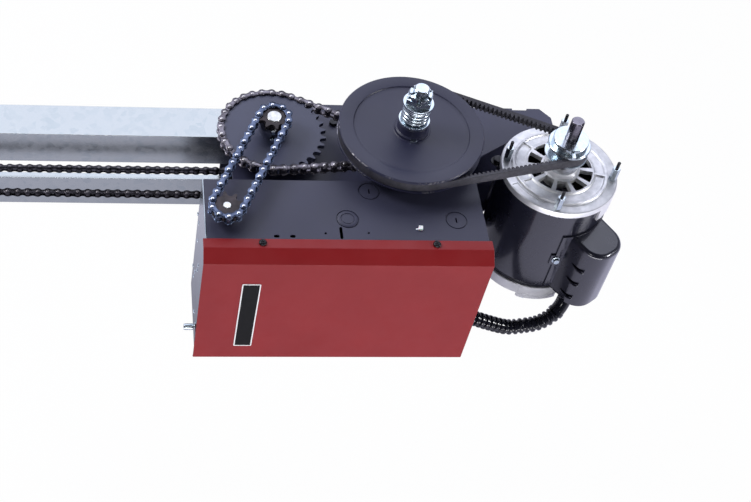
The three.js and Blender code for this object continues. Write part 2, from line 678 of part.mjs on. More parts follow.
// ---------------------------------------------------------------- clutch
const beltPlane = reductionPlane + BELT_RISE;
const pulleyBottom = beltPlane - PULLEY_WIDTH / 2;
const pulleyTop = beltPlane + PULLEY_WIDTH / 2;
const hubBottom = pulleyBottom - PULLEY_HUB_FOOT;
const hubTop = pulleyTop - PULLEY_HUB_DROP;
const frictionBottom = hubBottom - GAP - FRICTION_THICK;
const backingTop = frictionBottom - GAP;
const backingBottom = backingTop - BACKING_THICK;
const collarBottom = hubTop + GAP;
const washerBottom = collarBottom + COLLAR_LENGTH + GAP;
const springBottom = washerBottom + WASHER_THICK + GAP;
const upperWasher = springBottom + SPRING_LENGTH + GAP;
const nutBottom = upperWasher + WASHER_THICK + GAP;
const nutTop = nutBottom + NUT_HEIGHT;
const clutchShaftTop = nutTop + CLUTCH_SHAFT_TOP;

// Half width of the belt groove at a depth below the rim.
const grooveHalf = (depth) => BELT_WIDTH / 2 + BELT_SIDE_GAP + (BELT_INSET - depth) * BELT_SLOPE;

// The rim part of a pulley profile, from its lower outer corner to its upper one.
function grooveProfile(radius) {
  return [
    [radius, pulleyBottom],
    [radius, beltPlane - grooveHalf(0)],
    [radius - GROOVE_DEPTH, beltPlane - grooveHalf(GROOVE_DEPTH)],
    [radius - GROOVE_DEPTH, beltPlane + grooveHalf(GROOVE_DEPTH)],
    [radius, beltPlane + grooveHalf(0)],
    [radius, pulleyTop],
  ];
}

function clutchPulley() {
  const webTop = pulleyTop - PULLEY_RECESS;
  const webBottom = webTop - PULLEY_WEB;
  const recess = PULLEY_RADIUS - PULLEY_RIM;
  return turned([
    [shaftBore, hubBottom], [PULLEY_HUB, hubBottom], [PULLEY_HUB, webBottom], [recess, webBottom],
    [recess + RECESS_TAPER, pulleyBottom], ...grooveProfile(PULLEY_RADIUS), [recess + RECESS_TAPER, pulleyTop],
    [recess, webTop], [PULLEY_HUB, webTop], [PULLEY_HUB, hubTop], [shaftBore, hubTop],
  ], 28);
}

// Flat ring on the clutch shaft.
function collar(radius, z, thick, sides) {
  return cut(round(radius, z, z + thick, 0, 0, sides), round(shaftBore, z - OVERCUT, z + thick + OVERCUT));
}

class Helix extends THREE.Curve {
  constructor(radius, height, turns) {
    super();
    this.radius = radius;
    this.height = height;
    this.turns = turns;
  }
  getPoint(t, target = new THREE.Vector3()) {
    const angle = 2 * Math.PI * this.turns * t;
    return target.set(this.radius * Math.cos(angle), this.radius * Math.sin(angle), this.height * t);
  }
}

function clutchSpring() {
  const wire = new THREE.Shape().absarc(0, 0, SPRING_WIRE, 0, 2 * Math.PI);
  const path = new Helix(SPRING_RADIUS, SPRING_LENGTH - 2 * SPRING_WIRE, SPRING_TURNS);
  const steps = SPRING_TURNS * 10;
  const coil = new THREE.ExtrudeGeometry(wire, { steps, curveSegments: 3, extrudePath: path });
  return coil.translate(0, 0, springBottom + SPRING_WIRE);
}

function castleNut() {
  const body = round(NUT_RADIUS, nutBottom, nutTop, 0, 0, 6);
  const slots = [];
  const half = NUT_SLOT_WIDTH / 2;
  for (let i = 0; i < 3; i++) {
    const slot = slab(-NUT_RADIUS, NUT_RADIUS, -half, half, nutTop - NUT_SLOT_DEPTH, nutTop + OVERCUT);
    slots.push(slot.rotateZ((i * Math.PI) / 3));
  }
  return cut(body, round(shaftBore, nutBottom - OVERCUT, nutTop + OVERCUT), ...slots);
}

const cotterZ = nutTop - COTTER_DEPTH;

function cotterPin() {
  const length = 2 * (NUT_RADIUS + COTTER_END);
  const pin = new THREE.CylinderGeometry(COTTER_RADIUS, COTTER_RADIUS, length, 8);
  return pin.rotateZ(Math.PI / 2).translate(0, 0, cotterZ);
}

function clutchShaft() {
  const hole = COTTER_RADIUS + GAP;
  const bore = new THREE.CylinderGeometry(hole, hole, 3 * SHAFT_RADIUS, 8);
  return cut(round(SHAFT_RADIUS, -bearingTop - SHAFT_OVERHANG, clutchShaftTop),
    bore.rotateZ(Math.PI / 2).translate(0, 0, cotterZ));
}

add(clutchAxis, 'clutch_shaft', clutchShaft(), zinc);
add(clutchAxis, 'clutch_bearing_top', bearing(1), oiledSteel);
add(clutchAxis, 'clutch_bearing_bottom', bearing(-1), oiledSteel);
add(clutchAxis, 'clutch_sprocket',
  sprocket(CLUTCH_TEETH, reductionPlane, SPROCKET_HUB, bearingTop + GAP, backingBottom - GAP, shaftBore),
  oiledSteel);
add(clutchAxis, 'clutch_backing_plate', collar(BACKING_RADIUS, backingBottom, BACKING_THICK, 24), oiledSteel);
add(clutchAxis, 'friction_disc', collar(FRICTION_RADIUS, frictionBottom, FRICTION_THICK, 24), frictionFibre);
add(clutchAxis, 'clutch_pulley', clutchPulley(), blackPaint);
add(clutchAxis, 'pressure_collar', collar(COLLAR_RADIUS, collarBottom, COLLAR_LENGTH), blackPaint);
add(clutchAxis, 'spring_washer_lower', collar(WASHER_RADIUS, washerBottom, WASHER_THICK), zinc);
add(clutchAxis, 'clutch_spring', clutchSpring(), zinc);
add(clutchAxis, 'spring_washer_upper', collar(WASHER_RADIUS, upperWasher, WASHER_THICK), zinc);
add(clutchAxis, 'castle_nut', castleNut(), zinc);
add(clutchAxis, 'cotter_pin', cotterPin(), zinc);

const largeWheel = { x: 0, y: 0, radius: pitchRadius(LARGE_TEETH) };
const clutchWheel = { x: CLUTCH_X, y: CLUTCH_Y, radius: pitchRadius(CLUTCH_TEETH) };
add(machine, 'reduction_chain', chainLoop(largeWheel, clutchWheel, reductionPlane, 22), chainSteel);

// ---------------------------------------------------------------- belt
const beltWheel = (x, y, rim) => ({ x, y, radius: rim - BELT_INSET });

function driveBelt() {
  const backHalf = BELT_WIDTH / 2;
  const noseHalf = backHalf - BELT_DEPTH * BELT_SLOPE;
  return loopBand(
    beltWheel(CLUTCH_X, CLUTCH_Y, PULLEY_RADIUS),
    beltWheel(MOTOR_X, MOTOR_Y, MOTOR_PULLEY_RADIUS),
    [[-BELT_DEPTH, beltPlane - noseHalf], [0, beltPlane - backHalf], [0, beltPlane + backHalf],
      [-BELT_DEPTH, beltPlane + noseHalf]],
    20);
}

add(machine, 'drive_belt', driveBelt(), rubber);

// ---------------------------------------------------------------- limit mechanism
const limitDriveWheel = { x: 0, y: 0, radius: pitchRadius(LIMIT_TEETH) };
const limitDrivenWheel = { x: limitX, y: limitY, radius: pitchRadius(LIMIT_TEETH) };
const limitBore = LIMIT_SHAFT + GAP;
const shelfZ = LIMIT_SHAFT_BOTTOM + SHELF_RISE;
const bushingTop = BOX_HALF_HEIGHT + GAP + BUSHING_FLANGE;
const boxInsideBack = BOX_BACK - BOX_SHEET;

function limitBushing() {
  const bodyBottom = BOX_HALF_HEIGHT - BOX_SHEET - BUSHING_INSIDE;
  const flange = round(BUSHING_RADIUS, BOX_HALF_HEIGHT + GAP, bushingTop, 0, 0, 20);
  const body = round(BUSHING_BODY, bodyBottom, BOX_HALF_HEIGHT + 2 * GAP, 0, 0, 20);
  return cut(joined(flange, body), round(limitBore, bodyBottom - OVERCUT, bushingTop + OVERCUT));
}

// Threaded nut with one notch that rides on the guide plate.
function limitNut(z) {
  const notchHalf = GUIDE_THICK / 2 + GAP;
  return cut(round(LIMIT_NUT_RADIUS, z - LIMIT_NUT_THICK / 2, z + LIMIT_NUT_THICK / 2, 0, 0, 24),
    round(limitBore, z - LIMIT_NUT_THICK, z + LIMIT_NUT_THICK),
    slab(-notchHalf, notchHalf, GUIDE_REACH - GAP, LIMIT_NUT_RADIUS + OVERCUT, z - LIMIT_NUT_THICK,
      z + LIMIT_NUT_THICK));
}

// Shelf that carries the shaft end, the guide plate behind the shaft and the two limit switches.
function limitBracket() {
  const wall = boxInsideBack - limitY - GAP;
  const wallFront = wall - GUIDE_THICK;
  const shelfBottom = shelfZ - GUIDE_THICK;
  const guideTop = BOX_HALF_HEIGHT - BRACKET_TOP_SPACE;
  const half = GUIDE_THICK / 2;
  const parts = [
    slab(-SHELF_HALF, SHELF_HALF, -SHELF_FRONT, wall, shelfBottom, shelfZ),
    slab(-half, half, GUIDE_REACH, wall, shelfZ - half, guideTop),
    slab(-SHELF_HALF, SHELF_HALF, wallFront, wall, shelfZ - half, guideTop),
  ];
  for (const side of [-1, 1]) {
    const z = side * (LIMIT_NUT_SPREAD + SWITCH_OFFSET);
    parts.push(slab(-half, SWITCH_WIDTH, GUIDE_REACH + SWITCH_INSET, wallFront - SWITCH_INSET,
      z - SWITCH_HALF_HEIGHT, z + SWITCH_HALF_HEIGHT));
  }
  return cut(joined(...parts), round(limitBore, shelfBottom - OVERCUT, shelfZ + OVERCUT));
}

add(machine, 'limit_chain', chainLoop(limitDriveWheel, limitDrivenWheel, limitPlane, 10), blueSteel);
add(limitAxis, 'limit_sprocket',
  sprocket(LIMIT_TEETH, limitPlane, LIMIT_HUB, bushingTop + GAP, limitTop, limitBore), oiledSteel);
add(limitAxis, 'limit_shaft', round(LIMIT_SHAFT, LIMIT_SHAFT_BOTTOM, limitTop + LIMIT_SHAFT_END), zinc);
add(limitAxis, 'limit_bushing', limitBushing(), bronze);
add(limitAxis, 'limit_nut_upper', limitNut(LIMIT_NUT_SPREAD), nylon);
add(limitAxis, 'limit_nut_lower', limitNut(-LIMIT_NUT_SPREAD), nylon);
add(limitAxis, 'limit_switch_bracket', limitBracket(), galvanised);

// ---------------------------------------------------------------- electrical box
const wallRight = BOX_RIGHT - BOX_SHEET;
const wallLeft = boxLeft + BOX_SHEET;
const topWall = [BOX_HALF_HEIGHT - BOX_SHEET - OVERCUT, BOX_HALF_HEIGHT + OVERCUT];

function electricalBox() {
  const inside = BOX_HALF_HEIGHT - BOX_SHEET;
  const left = wallLeft + GAP;
  const back = slab(left, BOX_RIGHT, boxInsideBack, BOX_BACK, -BOX_HALF_HEIGHT, BOX_HALF_HEIGHT);
  const top = slab(left, BOX_RIGHT, BOX_LIP, BOX_BACK, inside, BOX_HALF_HEIGHT);
  const bottom = slab(left, BOX_RIGHT, BOX_LIP, BOX_BACK, -BOX_HALF_HEIGHT, -inside);
  const right = slab(wallRight, BOX_RIGHT, BOX_LIP, BOX_BACK, -BOX_HALF_HEIGHT, BOX_HALF_HEIGHT);
  const bushingHole = round(BUSHING_BODY + GAP, ...topWall, limitX, limitY, 20);
  const conduitHole = round(CONDUIT_RADIUS - CONDUIT_WALL, -CONDUIT_SPIGOT, OVERCUT, 0, 0, 12)
    .rotateY(Math.PI / 2).translate(BOX_RIGHT, CONDUIT_Y, CONDUIT_Z);
  return cut(joined(back, top, bottom, right), bushingHole, ...screwHoles(), conduitHole);
}

// Holes for the two cover screws, through the box top and the cover flange over it.
function screwHoles() {
  return [COVER_SCREW_LEFT, COVER_SCREW_RIGHT]
    .map((x) => round(SCREW_RADIUS + GAP, topWall[0], topWall[1] + COVER_SHEET, x, COVER_SCREW_Y, 12));
}

// The unpainted end plate follows the closed cover, so it is cut to the cover's bent outline.
function endPanel() {
  const face = COVER_FACE_Y + COVER_SHEET + GAP;
  const lip = BOX_LIP + PANEL_LIP;
  const low = BOX_HALF_HEIGHT - COVER_CHAMFER_DOWN;
  return cut(bar([
    [BOX_BACK, -BOX_HALF_HEIGHT], [BOX_BACK, BOX_HALF_HEIGHT], [lip, BOX_HALF_HEIGHT], [face, low],
    [face, -low], [lip, -BOX_HALF_HEIGHT],
  ], boxLeft, wallLeft), antennaHole());
}

// Round bar along X on the antenna line.
function antennaRod(radius, x0, x1, sides) {
  return new THREE.CylinderGeometry(radius, radius, x1 - x0, sides).rotateZ(Math.PI / 2)
    .translate((x0 + x1) / 2, ANTENNA_Y, ANTENNA_Z);
}

function antennaHole() {
  return antennaRod(ANTENNA_RADIUS + GAP, boxLeft - OVERCUT, wallLeft + OVERCUT, 12);
}

function antennaConnector() {
  const face = boxLeft - GAP;
  return joined(antennaRod(ANTENNA_RADIUS, boxLeft - ANTENNA_LENGTH, wallLeft + ANTENNA_INSIDE, 16),
    antennaRod(ANTENNA_NUT_RADIUS, face - ANTENNA_NUT_THICK, face, 6));
}

// Bent sheet: rear flange on the box top, chamfer, flat face, and the same again below.
function coverOutline(inset) {
  const outer = BOX_HALF_HEIGHT + GAP + COVER_SHEET - inset;
  const face = COVER_FACE_Y + inset;
  const chamferY = COVER_FACE_Y + COVER_CHAMFER_OUT + inset * COVER_BEND_OUT;
  const faceTop = BOX_HALF_HEIGHT + GAP + COVER_SHEET - COVER_CHAMFER_DOWN - inset * COVER_BEND_DOWN;
  const upper = [[COVER_FLANGE_Y, outer], [chamferY, outer], [face, faceTop]];
  const lower = upper.map(([y, z]) => [y, -z]).reverse();
  return [upper, lower];
}

function boxCover() {
  const [upper, lower] = coverOutline(0);
  const [innerUpper, innerLower] = coverOutline(COVER_SHEET);
  const outline = [...upper, ...lower, ...innerLower.reverse(), ...innerUpper.reverse()];
  return cut(bar(outline, boxLeft - COVER_OVERHANG, BOX_RIGHT + COVER_OVERHANG), ...screwHoles());
}

function coverScrew() {
  const seat = BOX_HALF_HEIGHT + 2 * GAP + COVER_SHEET;
  return joined(round(SCREW_HEAD_RADIUS, seat, seat + SCREW_HEAD_HEIGHT),
    round(SCREW_RADIUS, seat - SCREW_LENGTH, seat + OVERCUT, 0, 0, 12));
}

function logicBoard() {
  const wall = boxInsideBack - GAP;
  const back = wall - BOARD_STAND;
  const front = back - BOARD_THICK;
  const postX = [BOARD_LEFT + BOARD_POST_INSET, BOARD_RIGHT - BOARD_POST_INSET];
  const postZ = BOARD_HALF_HEIGHT - BOARD_POST_INSET;
  const half = BOARD_POST_HALF;
  const parts = [];
  for (const x of postX) {
    for (const z of [-postZ, postZ]) {
      parts.push(slab(x - half, x + half, front, wall, z - half, z + half));
    }
  }
  for (let i = 0; i < RELAYS; i++) {
    const x = RELAY_LEFT + i * RELAY_STEP;
    parts.push(slab(x, x + RELAY_WIDTH, back - RELAY_DEPTH, back, RELAY_Z - RELAY_HALF_HEIGHT,
      RELAY_Z + RELAY_HALF_HEIGHT));
  }
  const terminalZ = TERMINAL_EDGE - BOARD_HALF_HEIGHT;
  parts.push(slab(TERMINAL_LEFT, TERMINAL_RIGHT, back - TERMINAL_DEPTH, back, terminalZ,
    terminalZ + TERMINAL_HEIGHT));
  return joined(slab(BOARD_LEFT, BOARD_RIGHT, front, back, -BOARD_HALF_HEIGHT, BOARD_HALF_HEIGHT), ...parts);
}

// Laminated core with its winding, on the box floor.
function transformer() {
  const floor = -BOX_HALF_HEIGHT + BOX_SHEET + GAP;
  const back = BOX_BACK - CORE_BEHIND;
  const front = back - CORE_DEPTH;
  const right = CORE_LEFT + CORE_WIDTH;
  return joined(slab(CORE_LEFT, right, front, back, floor, floor + CORE_HEIGHT),
    slab(CORE_LEFT + COIL_INSET, right - COIL_INSET, front - COIL_PROUD, back + COIL_BACK,
      floor + COIL_PROUD, floor + CORE_HEIGHT - COIL_PROUD));
}

add(machine, 'electrical_box', electricalBox(), darkPaint);
add(machine, 'left_end_panel', endPanel(), galvanised);
add(machine, 'antenna_connector', antennaConnector(), zinc);
add(machine, 'box_cover', boxCover(), redPaint);
add(axisAt(COVER_SCREW_LEFT, COVER_SCREW_Y), 'cover_screw_left', coverScrew(), blackPaint);
add(axisAt(COVER_SCREW_RIGHT, COVER_SCREW_Y), 'cover_screw_right', coverScrew(), blackPaint);
const labelBack = COVER_FACE_Y - LABEL_GLUE;
add(machine, 'label_plate',
  slab(LABEL_X - LABEL_WIDTH / 2, LABEL_X + LABEL_WIDTH / 2, labelBack - LABEL_THICK, labelBack, LABEL_BOTTOM,
    LABEL_TOP), blackPaint);
add(machine, 'logic_board', logicBoard(), boardGreen);
add(machine, 'transformer', transformer(), laminations);

// ---------------------------------------------------------------- motor
const bellRadius = SHELL_RADIUS + BELL_PROUD;
const boltCircle = SHELL_RADIUS - BOLT_INSET;
const motorBottom = MOTOR_TOP - MOTOR_LENGTH;
const topSeat = MOTOR_TOP - BELL_TOP_DEPTH;
const bottomSeat = motorBottom + BELL_BOTTOM_DEPTH;
const shellTop = topSeat - GAP;
const shellBottom = bottomSeat + GAP;
const spigot = SHELL_RADIUS - SHELL_SHEET - GAP;
const motorBore = MOTOR_SHAFT + GAP;
const motorShaftTop = pulleyTop + MOTOR_SHAFT_RISE;
const coreBottom = motorBottom + CORE_FROM_BOTTOM;
const coreTop = MOTOR_TOP - CORE_FROM_TOP;

function boltPlaces() {
  const places = [];
  for (let i = 0; i < 4; i++) {
    const angle = rad(THROUGH_BOLT_ANGLE - 90 * i);
    places.push([boltCircle * Math.cos(angle), boltCircle * Math.sin(angle)]);
  }
  return places;
}

function boltHoles(z0, z1) {
  return boltPlaces().map(([x, y]) => round(THROUGH_BOLT_RADIUS + GAP, z0, z1, x, y, 10));
}

function ventHoles(z0, z1) {
  const holes = [];
  const sector = 360 / VENTS;
  const half = (sector * VENT_SHARE) / 2;
  for (let i = 0; i < VENTS; i++) {
    const middle = VENT_START + sector * i;
    holes.push(ringPart(VENT_INNER, VENT_RADIUS, middle - half, middle + half, z0, z1, 2));
  }
  return holes;
}

function topBell() {
  const crown = MOTOR_TOP + BELL_TOP_STEP;
  const nose = crown + BELL_NOSE_RISE;
  const under = crown - BELL_WALL;
  const bossEnd = under - BELL_TOP_BOSS;
  const wall = spigot - BELL_WALL;
  const step = boltCircle - BELL_STEP_SPACE;
  const body = turned([
    [motorBore, bossEnd], [BELL_HUB, bossEnd], [BELL_HUB, under], [wall, under], [wall, topSeat - BELL_SPIGOT],
    [spigot, topSeat - BELL_SPIGOT], [spigot, topSeat], [bellRadius, topSeat], [bellRadius, MOTOR_TOP],
    [step, MOTOR_TOP], [step, crown], [BELL_NOSE, crown], [BELL_NOSE, nose], [motorBore, nose],
  ], 24);
  const skirt = ringPart(SHELL_RADIUS + GAP, bellRadius, CAP_ANGLE, CAP_ANGLE + SKIRT_ANGLE,
    topSeat - BELL_SKIRT, topSeat + OVERCUT);
  return cut(joined(body, skirt), ...ventHoles(bossEnd, nose + OVERCUT),
    ...boltHoles(topSeat - BELL_SPIGOT - OVERCUT, MOTOR_TOP + OVERCUT));
}

function bottomBell() {
  const over = motorBottom + BELL_FLOOR;
  const bossEnd = over + BELL_BOTTOM_BOSS;
  const wall = spigot - BELL_WALL;
  const pocket = motorBottom + SHAFT_END_SPACE;
  const body = turned([
    [0, motorBottom], [bellRadius, motorBottom], [bellRadius, bottomSeat], [spigot, bottomSeat],
    [spigot, bottomSeat + BELL_SPIGOT], [wall, bottomSeat + BELL_SPIGOT], [wall, over], [BELL_HUB, over],
    [BELL_HUB, bossEnd], [motorBore, bossEnd], [motorBore, pocket], [0, pocket],
  ], 24);
  const lugs = [];
  for (let i = 0; i < 4; i++) {
    const middle = THROUGH_BOLT_ANGLE - 90 * i;
    lugs.push(ringPart(bellRadius - LUG_WIDTH, bellRadius, middle - LUG_BEFORE, middle + LUG_AFTER,
      motorBottom - LUG_HEIGHT, motorBottom + OVERCUT, 2));
  }
  return cut(joined(body, ...lugs),
    ...boltHoles(motorBottom - LUG_HEIGHT - OVERCUT, bottomSeat + BELL_SPIGOT + OVERCUT));
}

function motorShell() {
  const inside = SHELL_RADIUS - SHELL_SHEET;
  return turned([
    [inside, shellBottom], [SHELL_RADIUS, shellBottom], [SHELL_RADIUS, shellTop], [inside, shellTop],
  ], 48);
}

function statorCore() {
  const bore = (ROTOR_RADIUS + GAP) / Math.cos(Math.PI / CORE_SIDES);
  const ring = turned([[bore, coreBottom], [spigot, coreBottom], [spigot, coreTop], [bore, coreTop]],
    CORE_SIDES);
  const notches = boltPlaces().map(([x, y]) =>
    round(THROUGH_BOLT_RADIUS + BOLT_NOTCH, coreBottom - OVERCUT, coreTop + OVERCUT, x, y, 10));
  return cut(ring, ...notches);
}

function rotorShaft() {
  const end = motorBottom + SHAFT_END_SPACE + GAP;
  return turned([
    [0, end], [MOTOR_SHAFT, end], [MOTOR_SHAFT, coreBottom], [ROTOR_RADIUS, coreBottom],
    [ROTOR_RADIUS, coreTop], [MOTOR_SHAFT, coreTop], [MOTOR_SHAFT, motorShaftTop], [0, motorShaftTop],
  ], 24);
}

function throughBolt() {
  const nutSeat = MOTOR_TOP + GAP;
  const headSeat = motorBottom - LUG_HEIGHT - GAP;
  return joined(
    round(THROUGH_BOLT_RADIUS, headSeat - OVERCUT, MOTOR_TOP + ROD_TIP, 0, 0, 10),
    round(THROUGH_NUT_RADIUS, nutSeat, nutSeat + COUPLING_NUT, 0, 0, 6),
    round(THROUGH_NUT_RADIUS, headSeat - THROUGH_HEAD, headSeat, 0, 0, 6));
}

function motorPulley() {
  const foot = pulleyBottom - MOTOR_HUB_FOOT_RISE;
  const head = pulleyTop + MOTOR_HUB_RISE;
  return turned([
    [motorBore, foot], [MOTOR_HUB_FOOT, foot], [MOTOR_HUB_FOOT, pulleyBottom],
    ...grooveProfile(MOTOR_PULLEY_RADIUS), [MOTOR_HUB, pulleyTop], [MOTOR_HUB, head], [motorBore, head],
  ], 20);
}

// Formed saddle between the shell and the motor plate of the frame.
function motorSaddle() {
  const top = motorPlateY - GAP - MOTOR_Y;
  const block = slab(-SADDLE_WIDTH / 2, SADDLE_WIDTH / 2, SHELL_RADIUS - SADDLE_WRAP, top,
    -SADDLE_HALF_HEIGHT, SADDLE_HALF_HEIGHT);
  const seatEnd = SADDLE_HALF_HEIGHT + OVERCUT;
  return cut(block, round(SHELL_RADIUS + GAP, -seatEnd, seatEnd, 0, 0, 48));
}

add(motorAxis, 'motor_shell', motorShell(), blackPaint);
add(motorAxis, 'motor_top_bell', topBell(), aluminium);
add(motorAxis, 'motor_bottom_bell', bottomBell(), aluminium);
add(motorAxis, 'stator_core', statorCore(), laminations);
add(motorAxis, 'rotor_shaft', rotorShaft(), zinc);
add(motorAxis, 'motor_pulley', motorPulley(), zinc);
add(motorAxis, 'motor_saddle', motorSaddle(), blackPaint);
boltPlaces().forEach(([x, y], index) => {
  add(axisAt(x, y, motorAxis), 'through_bolt_' + (index + 1), throughBolt(), zinc);
});

// ---------------------------------------------------------------- capacitor and its cover
const capacitorAxis = new THREE.Group();         // +X points away from the motor
capacitorAxis.rotation.z = rad(CAP_ANGLE);
motorAxis.add(capacitorAxis);

const capBottom = shellBottom - CAP_BELOW_SHELL;
const capTop = capBottom + CAP_LENGTH;
const capReach = SHELL_RADIUS + CAP_STAND;

function coverFootprint(inset) {
  const half = CAP_HALF_WIDTH - inset;
  const reach = capReach - inset;
  const corner = CAP_CORNER - inset;
  const root = SHELL_RADIUS / 2;
  const shape = new THREE.Shape();
  shape.moveTo(root, -half);
  shape.lineTo(reach - corner, -half);
  shape.absarc(reach - corner, -half + corner, corner, -Math.PI / 2, 0, false);
  shape.absarc(reach - corner, half - corner, corner, 0, Math.PI / 2, false);
  shape.lineTo(root, half);
  return shape;
}

function capacitorCover() {
  const flange = (spread, z0, z1) =>
    ringPart(SHELL_RADIUS - CAP_SHEET, SHELL_RADIUS + GAP + CAP_SHEET, -spread, spread, z0, z1, 8);
  const whole = joined(prism(coverFootprint(0), capBottom, capTop, 5),
    flange(CAP_FLANGE_SPREAD, capBottom + CAP_FLANGE_INSET, capTop + CAP_FLANGE_RISE),
    flange(CAP_EAR_SPREAD, -CAP_EAR_HALF, CAP_EAR_HALF));
  return cut(whole,
    round(SHELL_RADIUS + GAP, capBottom - OVERCUT, capTop + CAP_FLANGE_RISE + OVERCUT, 0, 0, 48),
    round(bellRadius + GAP, capBottom - OVERCUT, shellBottom, 0, 0, 48),
    prism(coverFootprint(CAP_SHEET), capBottom + CAP_SHEET, capTop - CAP_SHEET, 5));
}

function capacitor() {
  const floor = capBottom + CAP_SHEET + GAP;
  const x = capReach - CAP_SHEET - CAPACITOR_RADIUS - CAPACITOR_SPACE;
  return round(CAPACITOR_RADIUS, floor, floor + CAPACITOR_LENGTH, x, 0, 20);
}

add(capacitorAxis, 'capacitor_cover', capacitorCover(), blackPaint);
add(capacitorAxis, 'capacitor', capacitor(), aluminium);

// ---------------------------------------------------------------- conduit from the box to the motor
function conduitPath() {
  const start = new THREE.Vector3(BOX_RIGHT + GAP, CONDUIT_Y, CONDUIT_Z);
  const end = new THREE.Vector3(SHELL_RADIUS + CONDUIT_ALONG, CONDUIT_ASIDE, capBottom - GAP)
    .applyAxisAngle(new THREE.Vector3(0, 0, 1), rad(CAP_ANGLE)).add(new THREE.Vector3(MOTOR_X, MOTOR_Y, 0));
  const from = (place) => (offset) => new THREE.Vector3(...offset).add(place);
  return new THREE.CatmullRomCurve3([...CONDUIT_FROM_BOX.map(from(start)), ...CONDUIT_TO_COVER.map(from(end))]);
}

function conduit() {
  const circle = new THREE.Shape().absarc(0, 0, CONDUIT_RADIUS, 0, 2 * Math.PI);
  const tube = new THREE.ExtrudeGeometry(circle, { steps: 20, curveSegments: 4, extrudePath: conduitPath() });
  const nut = round(CONDUIT_RADIUS + CONDUIT_NUT, 0, CONDUIT_NUT_THICK, 0, 0, 12);
  const spigotEnd = round(CONDUIT_RADIUS - CONDUIT_WALL - GAP, -CONDUIT_SPIGOT, OVERCUT, 0, 0, 12);
  const connector = joined(nut, spigotEnd).rotateY(Math.PI / 2);
  return joined(tube, connector.translate(BOX_RIGHT + GAP, CONDUIT_Y, CONDUIT_Z));
}

add(machine, 'conduit', conduit(), rubber);

export default opener;
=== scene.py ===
from math import acos, atan2, ceil, cos, hypot, pi, radians, sin, sqrt

import bmesh
import bpy
from mathutils import Matrix, Vector


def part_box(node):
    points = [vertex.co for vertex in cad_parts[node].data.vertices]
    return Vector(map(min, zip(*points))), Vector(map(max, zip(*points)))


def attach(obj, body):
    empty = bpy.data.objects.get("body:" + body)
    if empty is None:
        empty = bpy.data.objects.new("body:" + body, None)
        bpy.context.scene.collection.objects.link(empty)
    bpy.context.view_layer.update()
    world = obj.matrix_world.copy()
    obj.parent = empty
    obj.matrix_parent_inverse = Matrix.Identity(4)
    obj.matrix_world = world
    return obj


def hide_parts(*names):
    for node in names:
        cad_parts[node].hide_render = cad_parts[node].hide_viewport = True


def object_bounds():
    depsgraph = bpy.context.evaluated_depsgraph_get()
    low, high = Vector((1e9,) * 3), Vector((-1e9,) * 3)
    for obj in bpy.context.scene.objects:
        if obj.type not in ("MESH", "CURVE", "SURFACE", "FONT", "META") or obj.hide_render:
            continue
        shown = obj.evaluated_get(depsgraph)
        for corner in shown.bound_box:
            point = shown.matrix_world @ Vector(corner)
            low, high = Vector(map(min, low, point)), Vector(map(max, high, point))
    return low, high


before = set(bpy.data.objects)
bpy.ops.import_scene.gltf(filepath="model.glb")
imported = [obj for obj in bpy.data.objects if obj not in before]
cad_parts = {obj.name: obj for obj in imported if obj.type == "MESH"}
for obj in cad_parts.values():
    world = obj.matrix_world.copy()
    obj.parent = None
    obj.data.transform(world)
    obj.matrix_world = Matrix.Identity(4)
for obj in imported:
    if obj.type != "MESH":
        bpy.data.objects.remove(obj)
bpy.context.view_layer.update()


# ---------------------------------------------------------------- camera
# The operator is looked down on from the front left, as it hangs over a bench. A short telephoto
# lens flattens it a little, and the lens shift frames it without turning the camera.
AZIMUTH = radians(8.84)
ELEVATION = radians(49.52)
ROLL = radians(7.47)
view = Vector((sin(AZIMUTH) * cos(ELEVATION), cos(AZIMUTH) * cos(ELEVATION), -sin(ELEVATION)))
level = Vector((cos(AZIMUTH), -sin(AZIMUTH), 0))
right = cos(ROLL) * level + sin(ROLL) * level.cross(view)
up = right.cross(view)
camera_data = bpy.data.cameras.new("camera")
camera_data.lens = 66.45
camera_data.sensor_width = 36
camera_data.shift_x = 0.1953
camera_data.shift_y = -0.0617
camera_data.clip_end = 50
camera = bpy.data.objects.new("camera", camera_data)
camera.matrix_world = Matrix((right, up, -view)).transposed().to_4x4()
camera.location = (-0.2259, -1.2579, 1.3560)
bpy.context.scene.collection.objects.link(camera)
bpy.context.scene.camera = camera
bpy.context.scene.view_settings.view_transform = "Standard"


# ---------------------------------------------------------------- room
# A white studio floor far enough under the hanging operator that only a breath of shadow reaches
# it, and five soft lamps. Metal sees the white floor below and a greyer ceiling above.


def linear(hex_colour):
    channels = [int(hex_colour[i:i + 2], 16) / 255 for i in (1, 3, 5)]
    return [c / 12.92 if c <= 0.04045 else ((c + 0.055) / 1.055) ** 2.4 for c in channels] + [1.0]


def add_node(tree, kind, inputs=None, **settings):
    made = tree.nodes.new(kind)
    for name, value in settings.items():
        setattr(made, name, value)
    for key, value in (inputs or {}).items():
        if isinstance(value, bpy.types.NodeSocket):
            tree.links.new(value, made.inputs[key])
        else:
            made.inputs[key].default_value = value
    return made


SHADOW_SHARE = 0.04
PAINTED_SHADE_UNDER_MACHINE = 0.25


